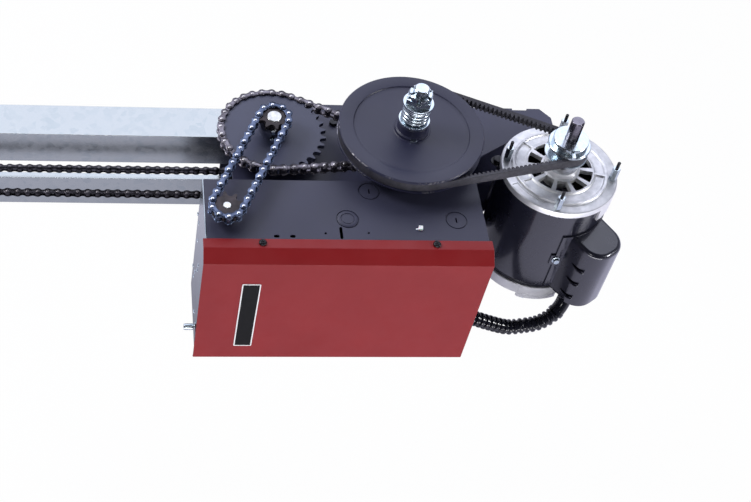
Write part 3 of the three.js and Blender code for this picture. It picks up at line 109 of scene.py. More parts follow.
def studio_paper():
    """White paper: its light shows to the eye and in metal, and its matt side takes the shadow.

    Metal sees a painted shade on it close under the machine, for the shadow the machine casts there.
    """
    material = bpy.data.materials.new("white_studio_paper")
    material.use_nodes = True
    tree = material.node_tree
    tree.nodes.clear()
    rays = add_node(tree, "ShaderNodeLightPath")
    tone = add_node(tree, "ShaderNodeMix", {"Factor": rays.outputs["Is Camera Ray"], 6: linear("#e7e6fa"),
                                            7: linear("#ffffff")}, data_type="RGBA")
    white = add_node(tree, "ShaderNodeEmission", {"Color": tone.outputs[2], "Strength": 1.0})
    mirrors = add_node(tree, "ShaderNodeMath", {0: rays.outputs["Is Glossy Ray"],
                                                1: rays.outputs["Is Transmission Ray"]}, operation="MAXIMUM")
    matt = add_node(tree, "ShaderNodeMix", {"Factor": mirrors.outputs[0], 6: linear("#f4f4f4"),
                                            7: linear("#000000")}, data_type="RGBA")
    paper = add_node(tree, "ShaderNodeBsdfDiffuse", {"Color": matt.outputs[2]})
    place = add_node(tree, "ShaderNodeTexCoord").outputs["Object"]
    # Painted shade: a soft round pool, darkest under the machine, that only metal sees.
    spot = add_node(tree, "ShaderNodeMapping", {"Vector": place, "Location": (-0.11, 0.05, 0), "Scale": (2.2, 2.2, 0)})
    away = add_node(tree, "ShaderNodeVectorMath", {0: spot.outputs[0]}, operation="LENGTH")
    shade = add_node(tree, "ShaderNodeMapRange",
                     {"Value": away.outputs["Value"], "From Min": 0.3, "From Max": 1.3, "To Min": PAINTED_SHADE_UNDER_MACHINE,
                      "To Max": 1.0}, interpolation_type="SMOOTHSTEP")
    shaded = add_node(tree, "ShaderNodeMath", {0: mirrors.outputs[0], 1: shade.outputs["Result"]},
                      operation="MULTIPLY")
    eyes = add_node(tree, "ShaderNodeMath", {0: rays.outputs["Is Camera Ray"], 1: 1 - SHADOW_SHARE},
                    operation="MULTIPLY")
    share = add_node(tree, "ShaderNodeMath", {0: shaded.outputs[0], 1: eyes.outputs[0]}, operation="MAXIMUM")
    mix = add_node(tree, "ShaderNodeMixShader", {0: share.outputs[0], 1: paper.outputs[0], 2: white.outputs[0]})
    add_node(tree, "ShaderNodeOutputMaterial", {"Surface": mix.outputs[0]})
    return material


FLOOR_DROP = 0.45
FLOOR_HALF = 9
floor_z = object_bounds()[0].z - FLOOR_DROP
floor_mesh = bpy.data.meshes.new("floor")
corners = [(x * FLOOR_HALF, y * FLOOR_HALF, floor_z) for x, y in ((-1, -1), (1, -1), (1, 1), (-1, 1))]
floor_mesh.from_pydata(corners, [], [(0, 1, 2, 3)])
floor_mesh.materials.append(studio_paper())
floor = bpy.data.objects.new("floor", floor_mesh)
bpy.context.scene.collection.objects.link(floor)

world = bpy.data.worlds.new("studio")
bpy.context.scene.world = world
world.use_nodes = True
world.node_tree.nodes.clear()
rays = add_node(world.node_tree, "ShaderNodeLightPath")
seen = add_node(world.node_tree, "ShaderNodeMath",
                {0: rays.outputs["Is Camera Ray"], 1: rays.outputs["Is Transmission Ray"]}, operation="MAXIMUM")
direction = add_node(world.node_tree, "ShaderNodeTexCoord").outputs["Generated"]
curtain = add_node(world.node_tree, "ShaderNodeVectorMath", {0: direction, 1: (-0.1, -0.6, 0.79)},
                   operation="DOT_PRODUCT")
brightness = add_node(world.node_tree, "ShaderNodeMapRange", {"Value": curtain.outputs["Value"], "From Min": 0.1,
                                                              "From Max": 0.85, "To Min": 0.55, "To Max": 0.06})
walls = add_node(world.node_tree, "ShaderNodeBackground",
                 {"Color": linear("#dde2f6"), "Strength": brightness.outputs["Result"]})
white = add_node(world.node_tree, "ShaderNodeBackground", {"Color": linear("#ffffff"), "Strength": 1.0})
air = add_node(world.node_tree, "ShaderNodeMixShader", {0: seen.outputs[0], 1: walls.outputs[0], 2: white.outputs[0]})
add_node(world.node_tree, "ShaderNodeOutputWorld", {"Surface": air.outputs[0]})


def softbox(name, place, target, size, watts, colour="#ffffff"):
    lamp = bpy.data.lights.new(name, "AREA")
    lamp.color = linear(colour)[:3]
    lamp.shape = "RECTANGLE"
    lamp.size, lamp.size_y = size
    lamp.energy = watts
    holder = bpy.data.objects.new(name, lamp)
    holder.location = place
    holder.rotation_euler = (Vector(target) - Vector(place)).to_track_quat("-Z", "Y").to_euler()
    bpy.context.scene.collection.objects.link(holder)


MACHINE = (0.1, -0.1, 0.0)
COVER = (0.1, -0.2, 0.0)
MOTOR = (0.36, -0.13, 0.05)
softbox("left_softbox", (-1.6, 0.4, 1.6), MACHINE, (0.9, 0.9), 30)
softbox("back_softbox", (0.0, 1.7, 2.0), MACHINE, (4.0, 2.4), 52, "#eef1ff")
softbox("low_front_softbox", (0.2, -1.8, -0.4), COVER, (2.2, 0.3), 19)
softbox("front_glint_lamp", (-0.2, -1.6, 1.05), MACHINE, (0.28, 0.28), 2.5)
softbox("right_glint_lamp", (1.35, -0.6, 0.6), MOTOR, (0.25, 0.25), 6)


# ---------------------------------------------------------------- frame channel
# The frame is 3 mm steel plate, folded into a channel and welded, under black satin powder paint.
# It hangs by its long rear face and carries every other piece.
MM = 0.001
SHARP = radians(35)


def inside(material):
    """What a pattern needs: the material's nodes, its shader, and the place on the object."""
    tree = material.node_tree
    return tree, tree.nodes["Principled BSDF"], add_node(tree, "ShaderNodeTexCoord").outputs["Object"]


def spread(tree, pattern, low, high, start=0.35, end=0.65):
    """The pattern's middle range, spread from `low` to `high`: two hex colours or two numbers."""
    if isinstance(low, str):
        ramp = add_node(tree, "ShaderNodeValToRGB", {"Fac": pattern})
        for stop, position, colour in zip(ramp.color_ramp.elements, (start, end), (low, high)):
            stop.position = position
            stop.color = linear(colour)
        return ramp.outputs["Color"]
    return add_node(tree, "ShaderNodeMapRange", {"Value": pattern, "From Min": start, "From Max": end,
                                                 "To Min": low, "To Max": high}).outputs["Result"]


def drift(tree, place, grain, detail, low, high, start=0.35, end=0.65):
    """From `low` to `high`, over soft random clouds about `grain` millimetres across."""
    clouds = add_node(tree, "ShaderNodeTexNoise", {"Vector": place, "Scale": 1 / (grain * MM), "Detail": detail})
    return spread(tree, clouds.outputs["Fac"], low, high, start, end)


def relief(tree, shader, height, depth, strength=1.0):
    bump = add_node(tree, "ShaderNodeBump", {"Height": height, "Distance": depth * MM, "Strength": strength})
    tree.links.new(bump.outputs["Normal"], shader.inputs["Normal"])


def finish(name, metallic, tint, gloss, texture=None, sockets=None):
    """Material whose colour, gloss and relief drift over soft clouds.

    tint and gloss are one value all over, or (grain in mm, detail, from, to). texture is (grain in mm,
    detail, depth in mm, strength). sockets are the shader's other values, the same all over.
    """
    material = bpy.data.materials.new(name)
    material.use_nodes = True
    tree, shader, place = inside(material)
    shader.inputs["Metallic"].default_value = metallic
    for socket, value in (sockets or {}).items():
        shader.inputs[socket].default_value = value
    for socket, look in (("Base Color", tint), ("Roughness", gloss)):
        value = look[2] if isinstance(look, tuple) else look
        shader.inputs[socket].default_value = linear(value) if isinstance(value, str) else value
        if isinstance(look, tuple):
            tree.links.new(drift(tree, place, *look), shader.inputs[socket])
    if texture:
        grain, detail, depth, strength = texture
        grit = add_node(tree, "ShaderNodeTexNoise", {"Vector": place, "Scale": 1 / (grain * MM), "Detail": detail})
        relief(tree, shader, grit.outputs["Fac"], depth, strength)
    return material


def powder_paint(name, dark, light, roughness):
    """Baked powder paint: an even satin skin, a little orange peel, and handling marks in the gloss."""
    return finish(name, 0.0, (60, 4, dark, light), (30, 8, roughness - 0.03, roughness + 0.04), (2.5, 2, 0.1, 0.35),
                  {"Specular IOR Level": 0.4})


def new_piece(name, mesh, material, crease=35):
    """Object with smooth faces, sharp where two of them meet at more than `crease` degrees."""
    mesh.materials.clear()
    mesh.materials.append(material)
    mesh.shade_smooth()
    mesh.set_sharp_from_angle(angle=radians(crease))
    piece = bpy.data.objects.new(name, mesh)
    bpy.context.scene.collection.objects.link(piece)
    return piece


def apply_modifiers(piece):
    bpy.context.view_layer.update()
    solved = piece.evaluated_get(bpy.context.evaluated_depsgraph_get())
    mesh = bpy.data.meshes.new_from_object(solved)
    before = piece.data
    piece.modifiers.clear()
    piece.data = mesh
    mesh.name = before.name
    bpy.data.meshes.remove(before)


def round_edges(piece, radius, segments=2, over=28):
    bevel = piece.modifiers.new("bevel", "BEVEL")
    bevel.width = radius * MM
    bevel.segments = segments
    bevel.limit_method = "ANGLE"
    bevel.angle_limit = radians(over)
    apply_modifiers(piece)
    piece.data.set_sharp_from_angle(angle=SHARP)
    flat = piece.modifiers.new("flat_faces", "WEIGHTED_NORMAL")
    flat.keep_sharp = True
    apply_modifiers(piece)


def copy_shape(node, name, material, edge=0.4, segments=2):
    """The same solid as a CAD node, with its flat faces whole and its edges rounded."""
    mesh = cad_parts[node].data.copy()
    work = bmesh.new()
    work.from_mesh(mesh)
    bmesh.ops.remove_doubles(work, verts=work.verts, dist=0.01 * MM)
    bmesh.ops.dissolve_limit(work, angle_limit=radians(0.5), verts=work.verts, edges=work.edges)
    work.to_mesh(mesh)
    work.free()
    piece = new_piece(name, mesh, material)
    if edge:
        round_edges(piece, edge, segments)
    return piece


def show(piece, body, slot, *nodes):
    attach(piece, body)
    if nodes:
        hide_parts(*nodes)
    return piece


def closed_skin(rows, count):
    """Faces of a solid through `rows` outlines of `count` points each, the lowest first."""
    faces = [tuple(range(count))[::-1], tuple(range((rows - 1) * count, rows * count))]
    for row in range(rows - 1):
        for i in range(count):
            j = (i + 1) % count
            faces.append((row * count + i, row * count + j, (row + 1) * count + j, (row + 1) * count + i))
    return faces


def stacked(levels):
    """Solid through a row of (outline, height) with the same number of points in each outline."""
    verts = [(x, y, z) for outline, z in levels for x, y in outline]
    return verts, closed_skin(len(levels), len(levels[0][0]))


def prism(outline, z0, z1):
    return stacked([(outline, z0), (outline, z1)])


def ring(radius, count, x=0, y=0, turn=0.0):
    steps = [2 * pi * i / count + radians(turn) for i in range(count)]
    return [(x + radius * cos(a), y + radius * sin(a)) for a in steps]


def mesh_of(name, *shapes):
    """One mesh of several closed shapes, given in millimetres."""
    verts, faces = [], []
    for shape_verts, shape_faces in shapes:
        first = len(verts)
        verts += [tuple(c * MM for c in v) for v in shape_verts]
        faces += [[first + i for i in face] for face in shape_faces]
    mesh = bpy.data.meshes.new(name)
    mesh.from_pydata(verts, [], faces)
    return mesh


def combine(piece, operation, *shapes):
    for shape in shapes:
        tool = bpy.data.objects.new("tool", mesh_of("tool", shape))
        bpy.context.scene.collection.objects.link(tool)
        step = piece.modifiers.new("boolean", "BOOLEAN")
        step.operation = operation
        step.solver = "EXACT"
        step.object = tool
        apply_modifiers(piece)
        bpy.data.objects.remove(tool)


def placed(shape, matrix):
    return [tuple(matrix @ Vector(v)) for v in shape[0]], shape[1]


def axis(node):
    """Middle of a node in plan, in millimetres."""
    low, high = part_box(node)
    return (low.x + high.x) / 2 / MM, (low.y + high.y) / 2 / MM


def heights(node):
    low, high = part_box(node)
    return low.z / MM, high.z / MM


black_paint = powder_paint("black_powder_paint", "#33344a", "#3a3b52", 0.42)
frame_sheet = copy_shape("frame_channel", "frame_channel_sheet", black_paint, 0.9, 3)
show(frame_sheet, "frame", "black_paint", "frame_channel")

# The frame's bolts are black-oxide hex bolts; oil in the oxide gives a soft dark shine.
black_oxide = finish("black_oxide_steel", 0.6, (9, 6, "#17181b", "#2c2c31"), (3, 4, 0.26, 0.42))
HEX_HEAD = 6.4
HEX_RISE = 6.2
WASHER_FACE = 8.6
WASHER_RISE = 1.2
plate_top = heights("frame_channel")[1]
out_x, out_y = axis("output_shaft")
bolt_x, bolt_y = out_x + 293, out_y - 18
frame_bolt = new_piece("frame_bolt", mesh_of("frame_bolt", prism(
    ring(WASHER_FACE, 40, bolt_x, bolt_y), plate_top - 0.4, plate_top + WASHER_RISE)), black_oxide)
combine(frame_bolt, "UNION", prism(ring(HEX_HEAD, 6, bolt_x, bolt_y, 17), plate_top, plate_top + HEX_RISE))
round_edges(frame_bolt, 0.5)
show(frame_bolt, "frame", "black_paint")


# ---------------------------------------------------------------- track angles and their bolts
# Two 50.8 mm angles of hot-dip galvanised steel run along the door track, bolted to the frame. The
# zinc freezes in spangles, which shift the grey and the gloss from one grain to the next.
SPANGLE = 8
STAIN = 30


def galvanised_steel(name, dark, light):
    """Hot-dip zinc: a grey with a blurred shine, in spangles and broader stains."""
    material = finish(name, 1.0, light, 0.27, (5, 2, 0.02, 0.3))
    tree, shader, place = inside(material)
    spangle = add_node(tree, "ShaderNodeTexVoronoi", {"Vector": place, "Scale": 1 / (SPANGLE * MM)})
    grey = add_node(tree, "ShaderNodeSeparateColor", {0: spangle.outputs["Color"]})
    stain = add_node(tree, "ShaderNodeTexNoise", {"Vector": place, "Scale": 1 / (STAIN * MM), "Detail": 8})
    both = add_node(tree, "ShaderNodeMath", {0: grey.outputs[0], 1: stain.outputs["Fac"]}, operation="ADD").outputs[0]
    for socket, low, high in (("Base Color", dark, light), ("Roughness", 0.22, 0.27)):
        tree.links.new(spread(tree, both, low, high, 0.4, 1.5), shader.inputs[socket])
    return material


galvanised = galvanised_steel("galvanised_steel", "#9ea5a7", "#a7acad")
for node in ("upper_rail", "lower_rail"):
    show(copy_shape(node, node + "_angle", galvanised, 0.7, 3), "frame", "galvanised", node)

# The bolts' heads stand outside the side plates, and their nuts sit on the rails inside.
RAIL_BOLT = 4
RAIL_BOLT_HEAD = 5.6
RAIL_BOLT_NUT = 6.4
for node in ("upper_rail_bolt", "lower_rail_bolt"):
    x, y = axis(node)
    out = 1 if heights(node)[0] > 0 else -1
    base = plate_top * out
    head = prism(ring(RAIL_BOLT_HEAD, 6, x, y, 11), *sorted((base, base + 4.6 * out)))
    stem = prism(ring(RAIL_BOLT, 20, x, y), *sorted((base - 15.5 * out, base + 0.5 * out)))
    nut = prism(ring(RAIL_BOLT_NUT, 6, x, y, 11), *sorted((base - 12.8 * out, base - 6.8 * out)))
    bolt = new_piece(node + "_hex", mesh_of(node, head, stem, nut), black_oxide)
    round_edges(bolt, 0.5)
    show(bolt, "frame", "oiled_steel", node)


# ---------------------------------------------------------------- idler, trolley and trolley chain
# A zinc-plated bracket clamps the far track end and carries the idler sprocket on a plain pin. The
# trolley is a welded steel carriage that slides on the angles, drawn by 12.7 mm roller chain.

# Bright chromated zinc: a near mirror whose thin film turns from blue to straw.
zinc = finish("bright_zinc_plate", 1.0, (7, 3, "#b6c3ce", "#c6ced3"), (4, 6, 0.17, 0.25), (2.5, 2, 0.01, 0.2))
show(copy_shape("idler_bracket", "idler_clamp_bracket", zinc, 0.5), "frame", "zinc", "idler_bracket")
show(copy_shape("trolley_carriage", "trolley_slide_carriage", zinc, 0.5), "trolley", "zinc", "trolley_carriage")

PITCH = 12.7
ROLLER = 3.9
PIN = 2.1
PLATE_END = 4.95
PLATE_WAIST = 3.0
PLATE = 1.15
PLATE_EDGE = 0.25
INNER_PLATE = 3.25
OUTER_PLATE = 4.5
ROLLER_REACH = 3.1
PIN_REACH = 6.2


def pitch_radius(teeth):
    return PITCH / 2 / sin(pi / teeth)


def loop_path(one, two):
    """The way round two wheels (x, y, radius): its length, and the point and outward direction at a distance."""
    (ax, ay, ar), (bx, by, br) = one, two
    far = hypot(bx - ax, by - ay)
    heading = atan2(by - ay, bx - ax)
    lean = acos((ar - br) / far)
    straight = sqrt(far ** 2 - (ar - br) ** 2)
    legs = [ar * (2 * pi - 2 * lean), straight, br * 2 * lean, straight]

    def at(distance):
        way = distance % sum(legs)
        leg = 0
        while way > legs[leg]:
            way -= legs[leg]
            leg += 1
        if leg == 0:
            out = heading + lean + way / ar
            return ax + ar * cos(out), ay + ar * sin(out), out
        if leg == 2:
            out = heading - lean + way / br
            return bx + br * cos(out), by + br * sin(out), out
        out = heading - lean if leg == 1 else heading + lean
        share = way / straight if leg == 1 else 1 - way / straight
        x = (ax + ar * cos(out)) * (1 - share) + (bx + br * cos(out)) * share
        y = (ay + ar * sin(out)) * (1 - share) + (by + br * sin(out)) * share
        return x, y, out

    return sum(legs), at


def link_outline():
    """Figure of eight: two round ends and a waist between them."""
    half = PITCH / 2
    waist = (half ** 2 + PLATE_WAIST ** 2 - PLATE_END ** 2) / 2 / (PLATE_END - PLATE_WAIST)
    turn = atan2(PLATE_WAIST + waist, -half)
    ends = [turn * (2 * i / 9 - 1) for i in range(10)]
    points = [(half + PLATE_END * cos(a), PLATE_END * sin(a)) for a in ends]
    sweep = pi - turn
    hollow = [-sweep - (pi - 2 * sweep) * i / 4 for i in range(1, 4)]
    points += [(waist * cos(a), PLATE_WAIST + waist + waist * sin(a)) for a in hollow]
    return points + [(-x, -y) for x, y in points]


def softened(outline, z0, z1, edge):
    """A plate of that outline with its rims bevelled, as a stamped and tumbled plate is."""
    count = len(outline)
    inset = []
    for i, (x, y) in enumerate(outline):
        (px, py), (nx, ny) = outline[i - 1], outline[(i + 1) % count]
        far = hypot(nx - px, ny - py)
        inset.append((x - edge * (ny - py) / far, y + edge * (nx - px) / far))
    return stacked([(inset, z0), (outline, z0 + edge), (outline, z1 - edge), (inset, z1)])


def turned(profile, sides=96, x=0, y=0):
    """Solid of revolution about +Z from a closed anticlockwise profile of (radius, height)."""
    verts, faces, rings = [], [], []
    for radius, z in profile:
        size = 1 if radius < 1e-6 else sides
        rings.append([len(verts) + i for i in range(size)])
        verts += [(x + radius * cos(2 * pi * i / sides), y + radius * sin(2 * pi * i / sides), z) for i in range(size)]
    for low, high in zip(rings, rings[1:] + rings[:1]):
        if len(low) == 1 and len(high) == 1:
            continue
        for i in range(sides):
            j = (i + 1) % sides
            face = [low[i % len(low)], low[j % len(low)], high[j % len(high)], high[i % len(high)]]
            faces.append([v for k, v in enumerate(face) if v not in face[:k]])
    return verts, faces


def bar(radius, z0, z1, edge=0.0, sides=64, x=0, y=0):
    """Round bar with both ends chamfered by `edge`."""
    lower, upper = [(radius, z0)], [(radius, z1)]
    if edge:
        lower, upper = [(radius - edge, z0), (radius, z0 + edge)], [(radius, z1 - edge), (radius - edge, z1)]
    return turned([(0, z0)] + lower + upper + [(0, z1)], sides, x, y)


def link_pair(inside):
    """The two side plates of a link, with their inner faces `inside` from the middle of the chain."""
    return [softened(link_outline(), z, z + PLATE, PLATE_EDGE) for z in (inside, -inside - PLATE)]


INNER_LINK = link_pair(INNER_PLATE)
OUTER_LINK = link_pair(OUTER_PLATE)
CHAIN_ROLLER = bar(ROLLER, -ROLLER_REACH, ROLLER_REACH, 0, 12)
CHAIN_PIN = turned([(0, -PIN_REACH), (1.6, -PIN_REACH), (PIN, 0.4 - PIN_REACH), (PIN, PIN_REACH - 0.4),
                    (1.6, PIN_REACH), (0, PIN_REACH)], 12)


def chain(name, one, two, links, plane, plates, pins, slot, narrow=(1.0, 1.0)):
    """Roller chain round two wheels: a piece for plates and rollers, and a piece for the riveted pins.

    narrow scales the plates' depth and the chain's width over its pins.
    """
    length, at = loop_path(one, two)
    places = [at(length * i / links) for i in range(links)]
    body, rivets = [], []
    for i, (x0, y0, _) in enumerate(places):
        x1, y1, _ = places[(i + 1) % links]
        lay = Matrix.Rotation(atan2(y1 - y0, x1 - x0), 4, "Z")
        middle = Matrix.Translation(((x0 + x1) / 2, (y0 + y1) / 2, plane)) @ lay @ Matrix.Diagonal((1, *narrow, 1))
        body += [placed(plate, middle) for plate in (INNER_LINK if i % 2 else OUTER_LINK)]
        here = Matrix.Translation((x0, y0, plane)) @ Matrix.Diagonal((1, 1, narrow[1], 1))
        body.append(placed(CHAIN_ROLLER, here))
        rivets.append(placed(CHAIN_PIN, here))
    links_piece = new_piece(name + "_links", mesh_of(name + "_links", *body), plates, 50)
    pins_piece = new_piece(name + "_pins", mesh_of(name + "_pins", *rivets), pins, 50)
    show(links_piece, "frame", slot, name)
    show(pins_piece, "frame", slot)
    return places


def chain_steel(name, dark, light):
    """Heat-treated carbon steel wet with oil: dark plates with soft glints."""
    return finish(name, 0.92, (6, 6, dark, light), (3, 6, 0.24, 0.44), (1.2, 2, 0.02, 0.3))


# The track chain is drawn nearly black, darker than the gearbox chain; its pin heads are only a little brighter.
near_black_chain = chain_steel("near_black_track_chain_steel", "#2a282c", "#454349")
dull_pin = chain_steel("dull_pin_steel", "#5a5658", "#7f7b7e")

TROLLEY_TEETH = 10
idler_x, idler_y = axis("idler_sprocket")
TROLLEY_LINKS = 92
trolley_places = chain("trolley_chain", (out_x, out_y, pitch_radius(TROLLEY_TEETH)),
                       (idler_x, idler_y, pitch_radius(TROLLEY_TEETH)), TROLLEY_LINKS, 0, near_black_chain, dull_pin,
                       "chain_steel", (0.9, 0.64))


def tooth_outline(teeth, turn):
    """Roller seats on the pitch circle with curved flanks up to rounded tips."""
    step = 2 * pi / teeth
    tip = PITCH / 2 * (0.6 + 1 / sin(pi / teeth) * cos(pi / teeth))
    seat = ROLLER + 0.15
    points = []
    for tooth in range(teeth):
        middle = turn + tooth * step
        x, y = pitch_radius(teeth) * cos(middle), pitch_radius(teeth) * sin(middle)
        for swing in (66, 44, 22, 0, -22, -44, -66):
            points.append((x + seat * cos(middle + pi + radians(swing)), y + seat * sin(middle + pi + radians(swing))))
        for share, drop in ((0.36, 2.0), (0.43, 0.5), (0.5, 0), (0.57, 0.5), (0.64, 2.0)):
            points.append(((tip - drop) * cos(middle + step * share), (tip - drop) * sin(middle + step * share)))
    return points


TOOTH_PLATE = 5.8


def sprocket(node, name, teeth, centre, plane, bore, hub, places, material):
    """Tooth plate with its hub. It is turned so that its roller seats meet the chain's pins."""
    x, y = centre
    z0, z1 = heights(node)
    x0, y0, _ = min(places, key=lambda at: abs(hypot(at[0] - x, at[1] - y) - pitch_radius(teeth)))
    outline = [(x + px, y + py) for px, py in tooth_outline(teeth, atan2(y0 - y, x0 - x))]
    piece = new_piece(name, mesh_of(name, prism(outline, plane - TOOTH_PLATE / 2, plane + TOOTH_PLATE / 2)), material)
    combine(piece, "UNION", bar(hub, z0, z1, 0.6, 64, x, y))
    combine(piece, "DIFFERENCE", prism(ring(bore, 48, x, y), z0 - 2, z1 + 2))
    round_edges(piece, 0.35)
    return piece


# Sprockets are cut from steel bar and dipped in black phosphate, so they are dark and a little dull.
phosphated = finish("phosphated_steel", 0.55, (12, 6, "#242220", "#393431"), (5, 5, 0.36, 0.56), (1.2, 3, 0.05, 0.4))
IDLER_BORE = 6.3
SMALL_HUB = 12.5
show(sprocket("idler_sprocket", "idler_sprocket_cut", TROLLEY_TEETH, (idler_x, idler_y), 0, IDLER_BORE, SMALL_HUB,
              trolley_places, phosphated), "idler", "oiled_steel", "idler_sprocket")


# ---------------------------------------------------------------- output shaft
# A 19 mm bright shaft turns in two bolted bearings and carries three sprockets. The 32-tooth wheel is
# laser-cut plate under satin black paint; a set screw holds its hub.
SHAFT = 9.5
SHAFT_BORE = 9.8


def shaft(node, name, x, y, material, chamfer=1.0):
    return new_piece(name, mesh_of(name, bar(SHAFT, *heights(node), chamfer, 64, x, y)), material)


# Cold-drawn shaft, bright and finely turned; a light oil film keeps its ends nearly white.
# The lathe marks are drawn 0.7 mm apart, coarser than real ones, so that they show. BAND is how
# far apart the bands of a texture lie at scale 1.
LATHE_MARK = 0.691
BAND = pi / 10
bright_shaft = finish("cold_drawn_steel", 1.0, (8, 6, "#aeafb0", "#d3d4d2"), 0.3)
tree, shader, place = inside(bright_shaft)
lathe_marks = add_node(tree, "ShaderNodeTexWave", {"Vector": place, "Scale": BAND / (LATHE_MARK * MM),
                                                   "Distortion": 1.5}, wave_type="BANDS", bands_direction="Z")
tree.links.new(spread(tree, lathe_marks.outputs["Fac"], 0.22, 0.36), shader.inputs["Roughness"])
relief(tree, shader, lathe_marks.outputs["Fac"], 0.03, 0.3)

show(shaft("output_shaft", "output_shaft_bar", out_x, out_y, bright_shaft), "output", "zinc", "output_shaft")


def sleeve(inner, outer, z0, z1, sides, x, y):
    """Plain ring or bush about an upright axis."""
    return turned([(inner, z0), (outer, z0), (outer, z1), (inner, z1)], sides, x, y)


FLANGE = 20
FLANGE_THICK = 3
BOSS = 14


def bearing(node, name, x, y):
    """Flanged bearing: its flange lies on the outer side of the plate, and its boss goes through."""
    z0, z1 = heights(node)
    seat, face = (z1 - FLANGE_THICK, z1) if z1 > 0 else (z0, z0 + FLANGE_THICK)
    piece = new_piece(name, mesh_of(name, sleeve(SHAFT_BORE, FLANGE, seat, face, 64, x, y)), phosphated)
    combine(piece, "UNION", sleeve(SHAFT_BORE, BOSS, z0, z1, 64, x, y))
    round_edges(piece, 0.5)
    return show(piece, "frame", "oiled_steel", node)


for node in ("output_bearing_top", "output_bearing_bottom"):
    bearing(node, node + "_flanged", out_x, out_y)

show(sprocket("trolley_drive_sprocket", "trolley_drive_sprocket_cut", TROLLEY_TEETH, (out_x, out_y), 0, SHAFT_BORE,
              13.5, trolley_places, phosphated), "output", "oiled_steel", "trolley_drive_sprocket")

# The gearbox chain is newer: grey-brown plates and rubbed, nearly bright pin heads.
grey_chain = chain_steel("grey_brown_chain_steel", "#4a464b", "#85818a")
rubbed_pin = chain_steel("rubbed_pin_steel", "#9a9799", "#c9c6c8")
LARGE_TEETH = 32
CLUTCH_TEETH = 9
REDUCTION_LINKS = 48
clutch_x, clutch_y = axis("clutch_shaft")
reduction_plane = sum(heights("reduction_chain")) / 2
reduction_places = chain("reduction_chain", (out_x, out_y, pitch_radius(LARGE_TEETH)),
                         (clutch_x, clutch_y, pitch_radius(CLUTCH_TEETH)), REDUCTION_LINKS, reduction_plane,
                         grey_chain, rubbed_pin, "chain_steel")

# Satin black enamel over flat plate: blue-black, with a broad soft sheen.
wheel_enamel = powder_paint("satin_black_enamel", "#414459", "#494c62", 0.42)
LARGE_HUB = 17.5
wheel = sprocket("large_sprocket", "large_sprocket_wheel", LARGE_TEETH, (out_x, out_y), reduction_plane, SHAFT_BORE,
                 LARGE_HUB, reduction_places, wheel_enamel)
show(wheel, "output", "oiled_steel", "large_sprocket")


def set_screw(name, x, y, z, direction, hub, radius, body):
    """Square-head set screw that stands out of a hub, in a direction in degrees."""
    head = prism(ring(radius, 24), hub - 2, hub + 1.5)
    block = prism(ring(radius * 1.3, 4, turn=45), hub + 1.5, hub + 8)
    turn = Matrix.Translation((x, y, z)) @ Matrix.Rotation(radians(direction), 4, "Z") @ Matrix.Rotation(pi / 2, 4, "Y")
    piece = new_piece(name, mesh_of(name, placed(head, turn), placed(block, turn)), zinc)
    round_edges(piece, 0.3)
    return show(piece, body, "zinc")


set_screw("wheel_set_screw", out_x, out_y, heights("large_sprocket")[1] - 5, -96, LARGE_HUB, 3.4, "output")


# ---------------------------------------------------------------- clutch
# The clutch shaft carries a cast V-belt pulley that slips on a fibre disc. A coil spring between two
# washers presses it, and a slotted nut with a split pin sets the load.
show(shaft("clutch_shaft", "clutch_shaft_bar", clutch_x, clutch_y, zinc, 1.6), "clutch", "zinc", "clutch_shaft")
for node in ("clutch_bearing_top", "clutch_bearing_bottom"):
    bearing(node, node + "_flanged", clutch_x, clutch_y)
show(sprocket("clutch_sprocket", "clutch_sprocket_cut", CLUTCH_TEETH, (clutch_x, clutch_y), reduction_plane,
              SHAFT_BORE, SMALL_HUB, reduction_places, phosphated), "clutch", "oiled_steel", "clutch_sprocket")


def washer(node, name, radius, material, slot, edge=0.4):
    flat = sleeve(SHAFT_BORE, radius, *heights(node), 96, clutch_x, clutch_y)
    piece = new_piece(name, mesh_of(name, flat), material)
    round_edges(piece, edge)
    return show(piece, "clutch", slot, node)


washer("clutch_backing_plate", "clutch_backing_disc", 40, phosphated, "oiled_steel")

# Woven friction fibre bonded with resin: brown, dull and finely flecked with brass.
FLECK = 2
fibre = finish("friction_fibre", 0.0, "#5f4f3d", 0.85)
tree, shader, place = inside(fibre)
weave = add_node(tree, "ShaderNodeTexVoronoi", {"Vector": place, "Scale": 1 / (FLECK * MM)})
tree.links.new(spread(tree, weave.outputs["Distance"], "#4a3c2d", "#7d6a50", 0.1, 0.9), shader.inputs["Base Color"])
relief(tree, shader, weave.outputs["Distance"], 0.15)
washer("friction_disc", "friction_fibre_disc", 38, fibre, "friction_fibre")

# The pulley's rim, V groove, dished web and hub are turned. Its enamel is a satin blue-black.
z0, z1 = heights("clutch_pulley")
pulley_low = z1 - 20
RIM = 90.2
belt_plane = z1 - 10
GROOVE_TOP = 6.8
GROOVE_FOOT = 4.2
GROOVE_DEPTH = 10.5


def v_groove(rim):
    """Part of a pulley's profile: down one side of the belt's groove and up the other."""
    return [(rim, belt_plane - GROOVE_TOP), (rim - GROOVE_DEPTH, belt_plane - GROOVE_FOOT),
            (rim - GROOVE_DEPTH, belt_plane + GROOVE_FOOT), (rim, belt_plane + GROOVE_TOP)]


pulley_profile = [
    (SHAFT_BORE, z0), (22, z0), (22, z1 - 9), (70, z1 - 9), (73.5, pulley_low + 1), (75, pulley_low),
    (89, pulley_low), (RIM, pulley_low + 1.2), *v_groove(RIM), (RIM, z1 - 1.2), (89, z1), (73, z1),
    (72.2, z1 - 0.3), (71.4, z1 - 1.4), (70.4, z1 - 1.7), (66, z1 - 1.9), (25, z1 - 1.9), (23.4, z1 - 1.7),
    (22.6, z1 - 1.2), (21.2, z1 - 1.2), (SHAFT_BORE, z1 - 1.2),
]
PULLEY_BLACK = ("#282940", "#2d2e44", 0.4)
pulley_enamel = powder_paint("pulley_black_enamel", *PULLEY_BLACK)

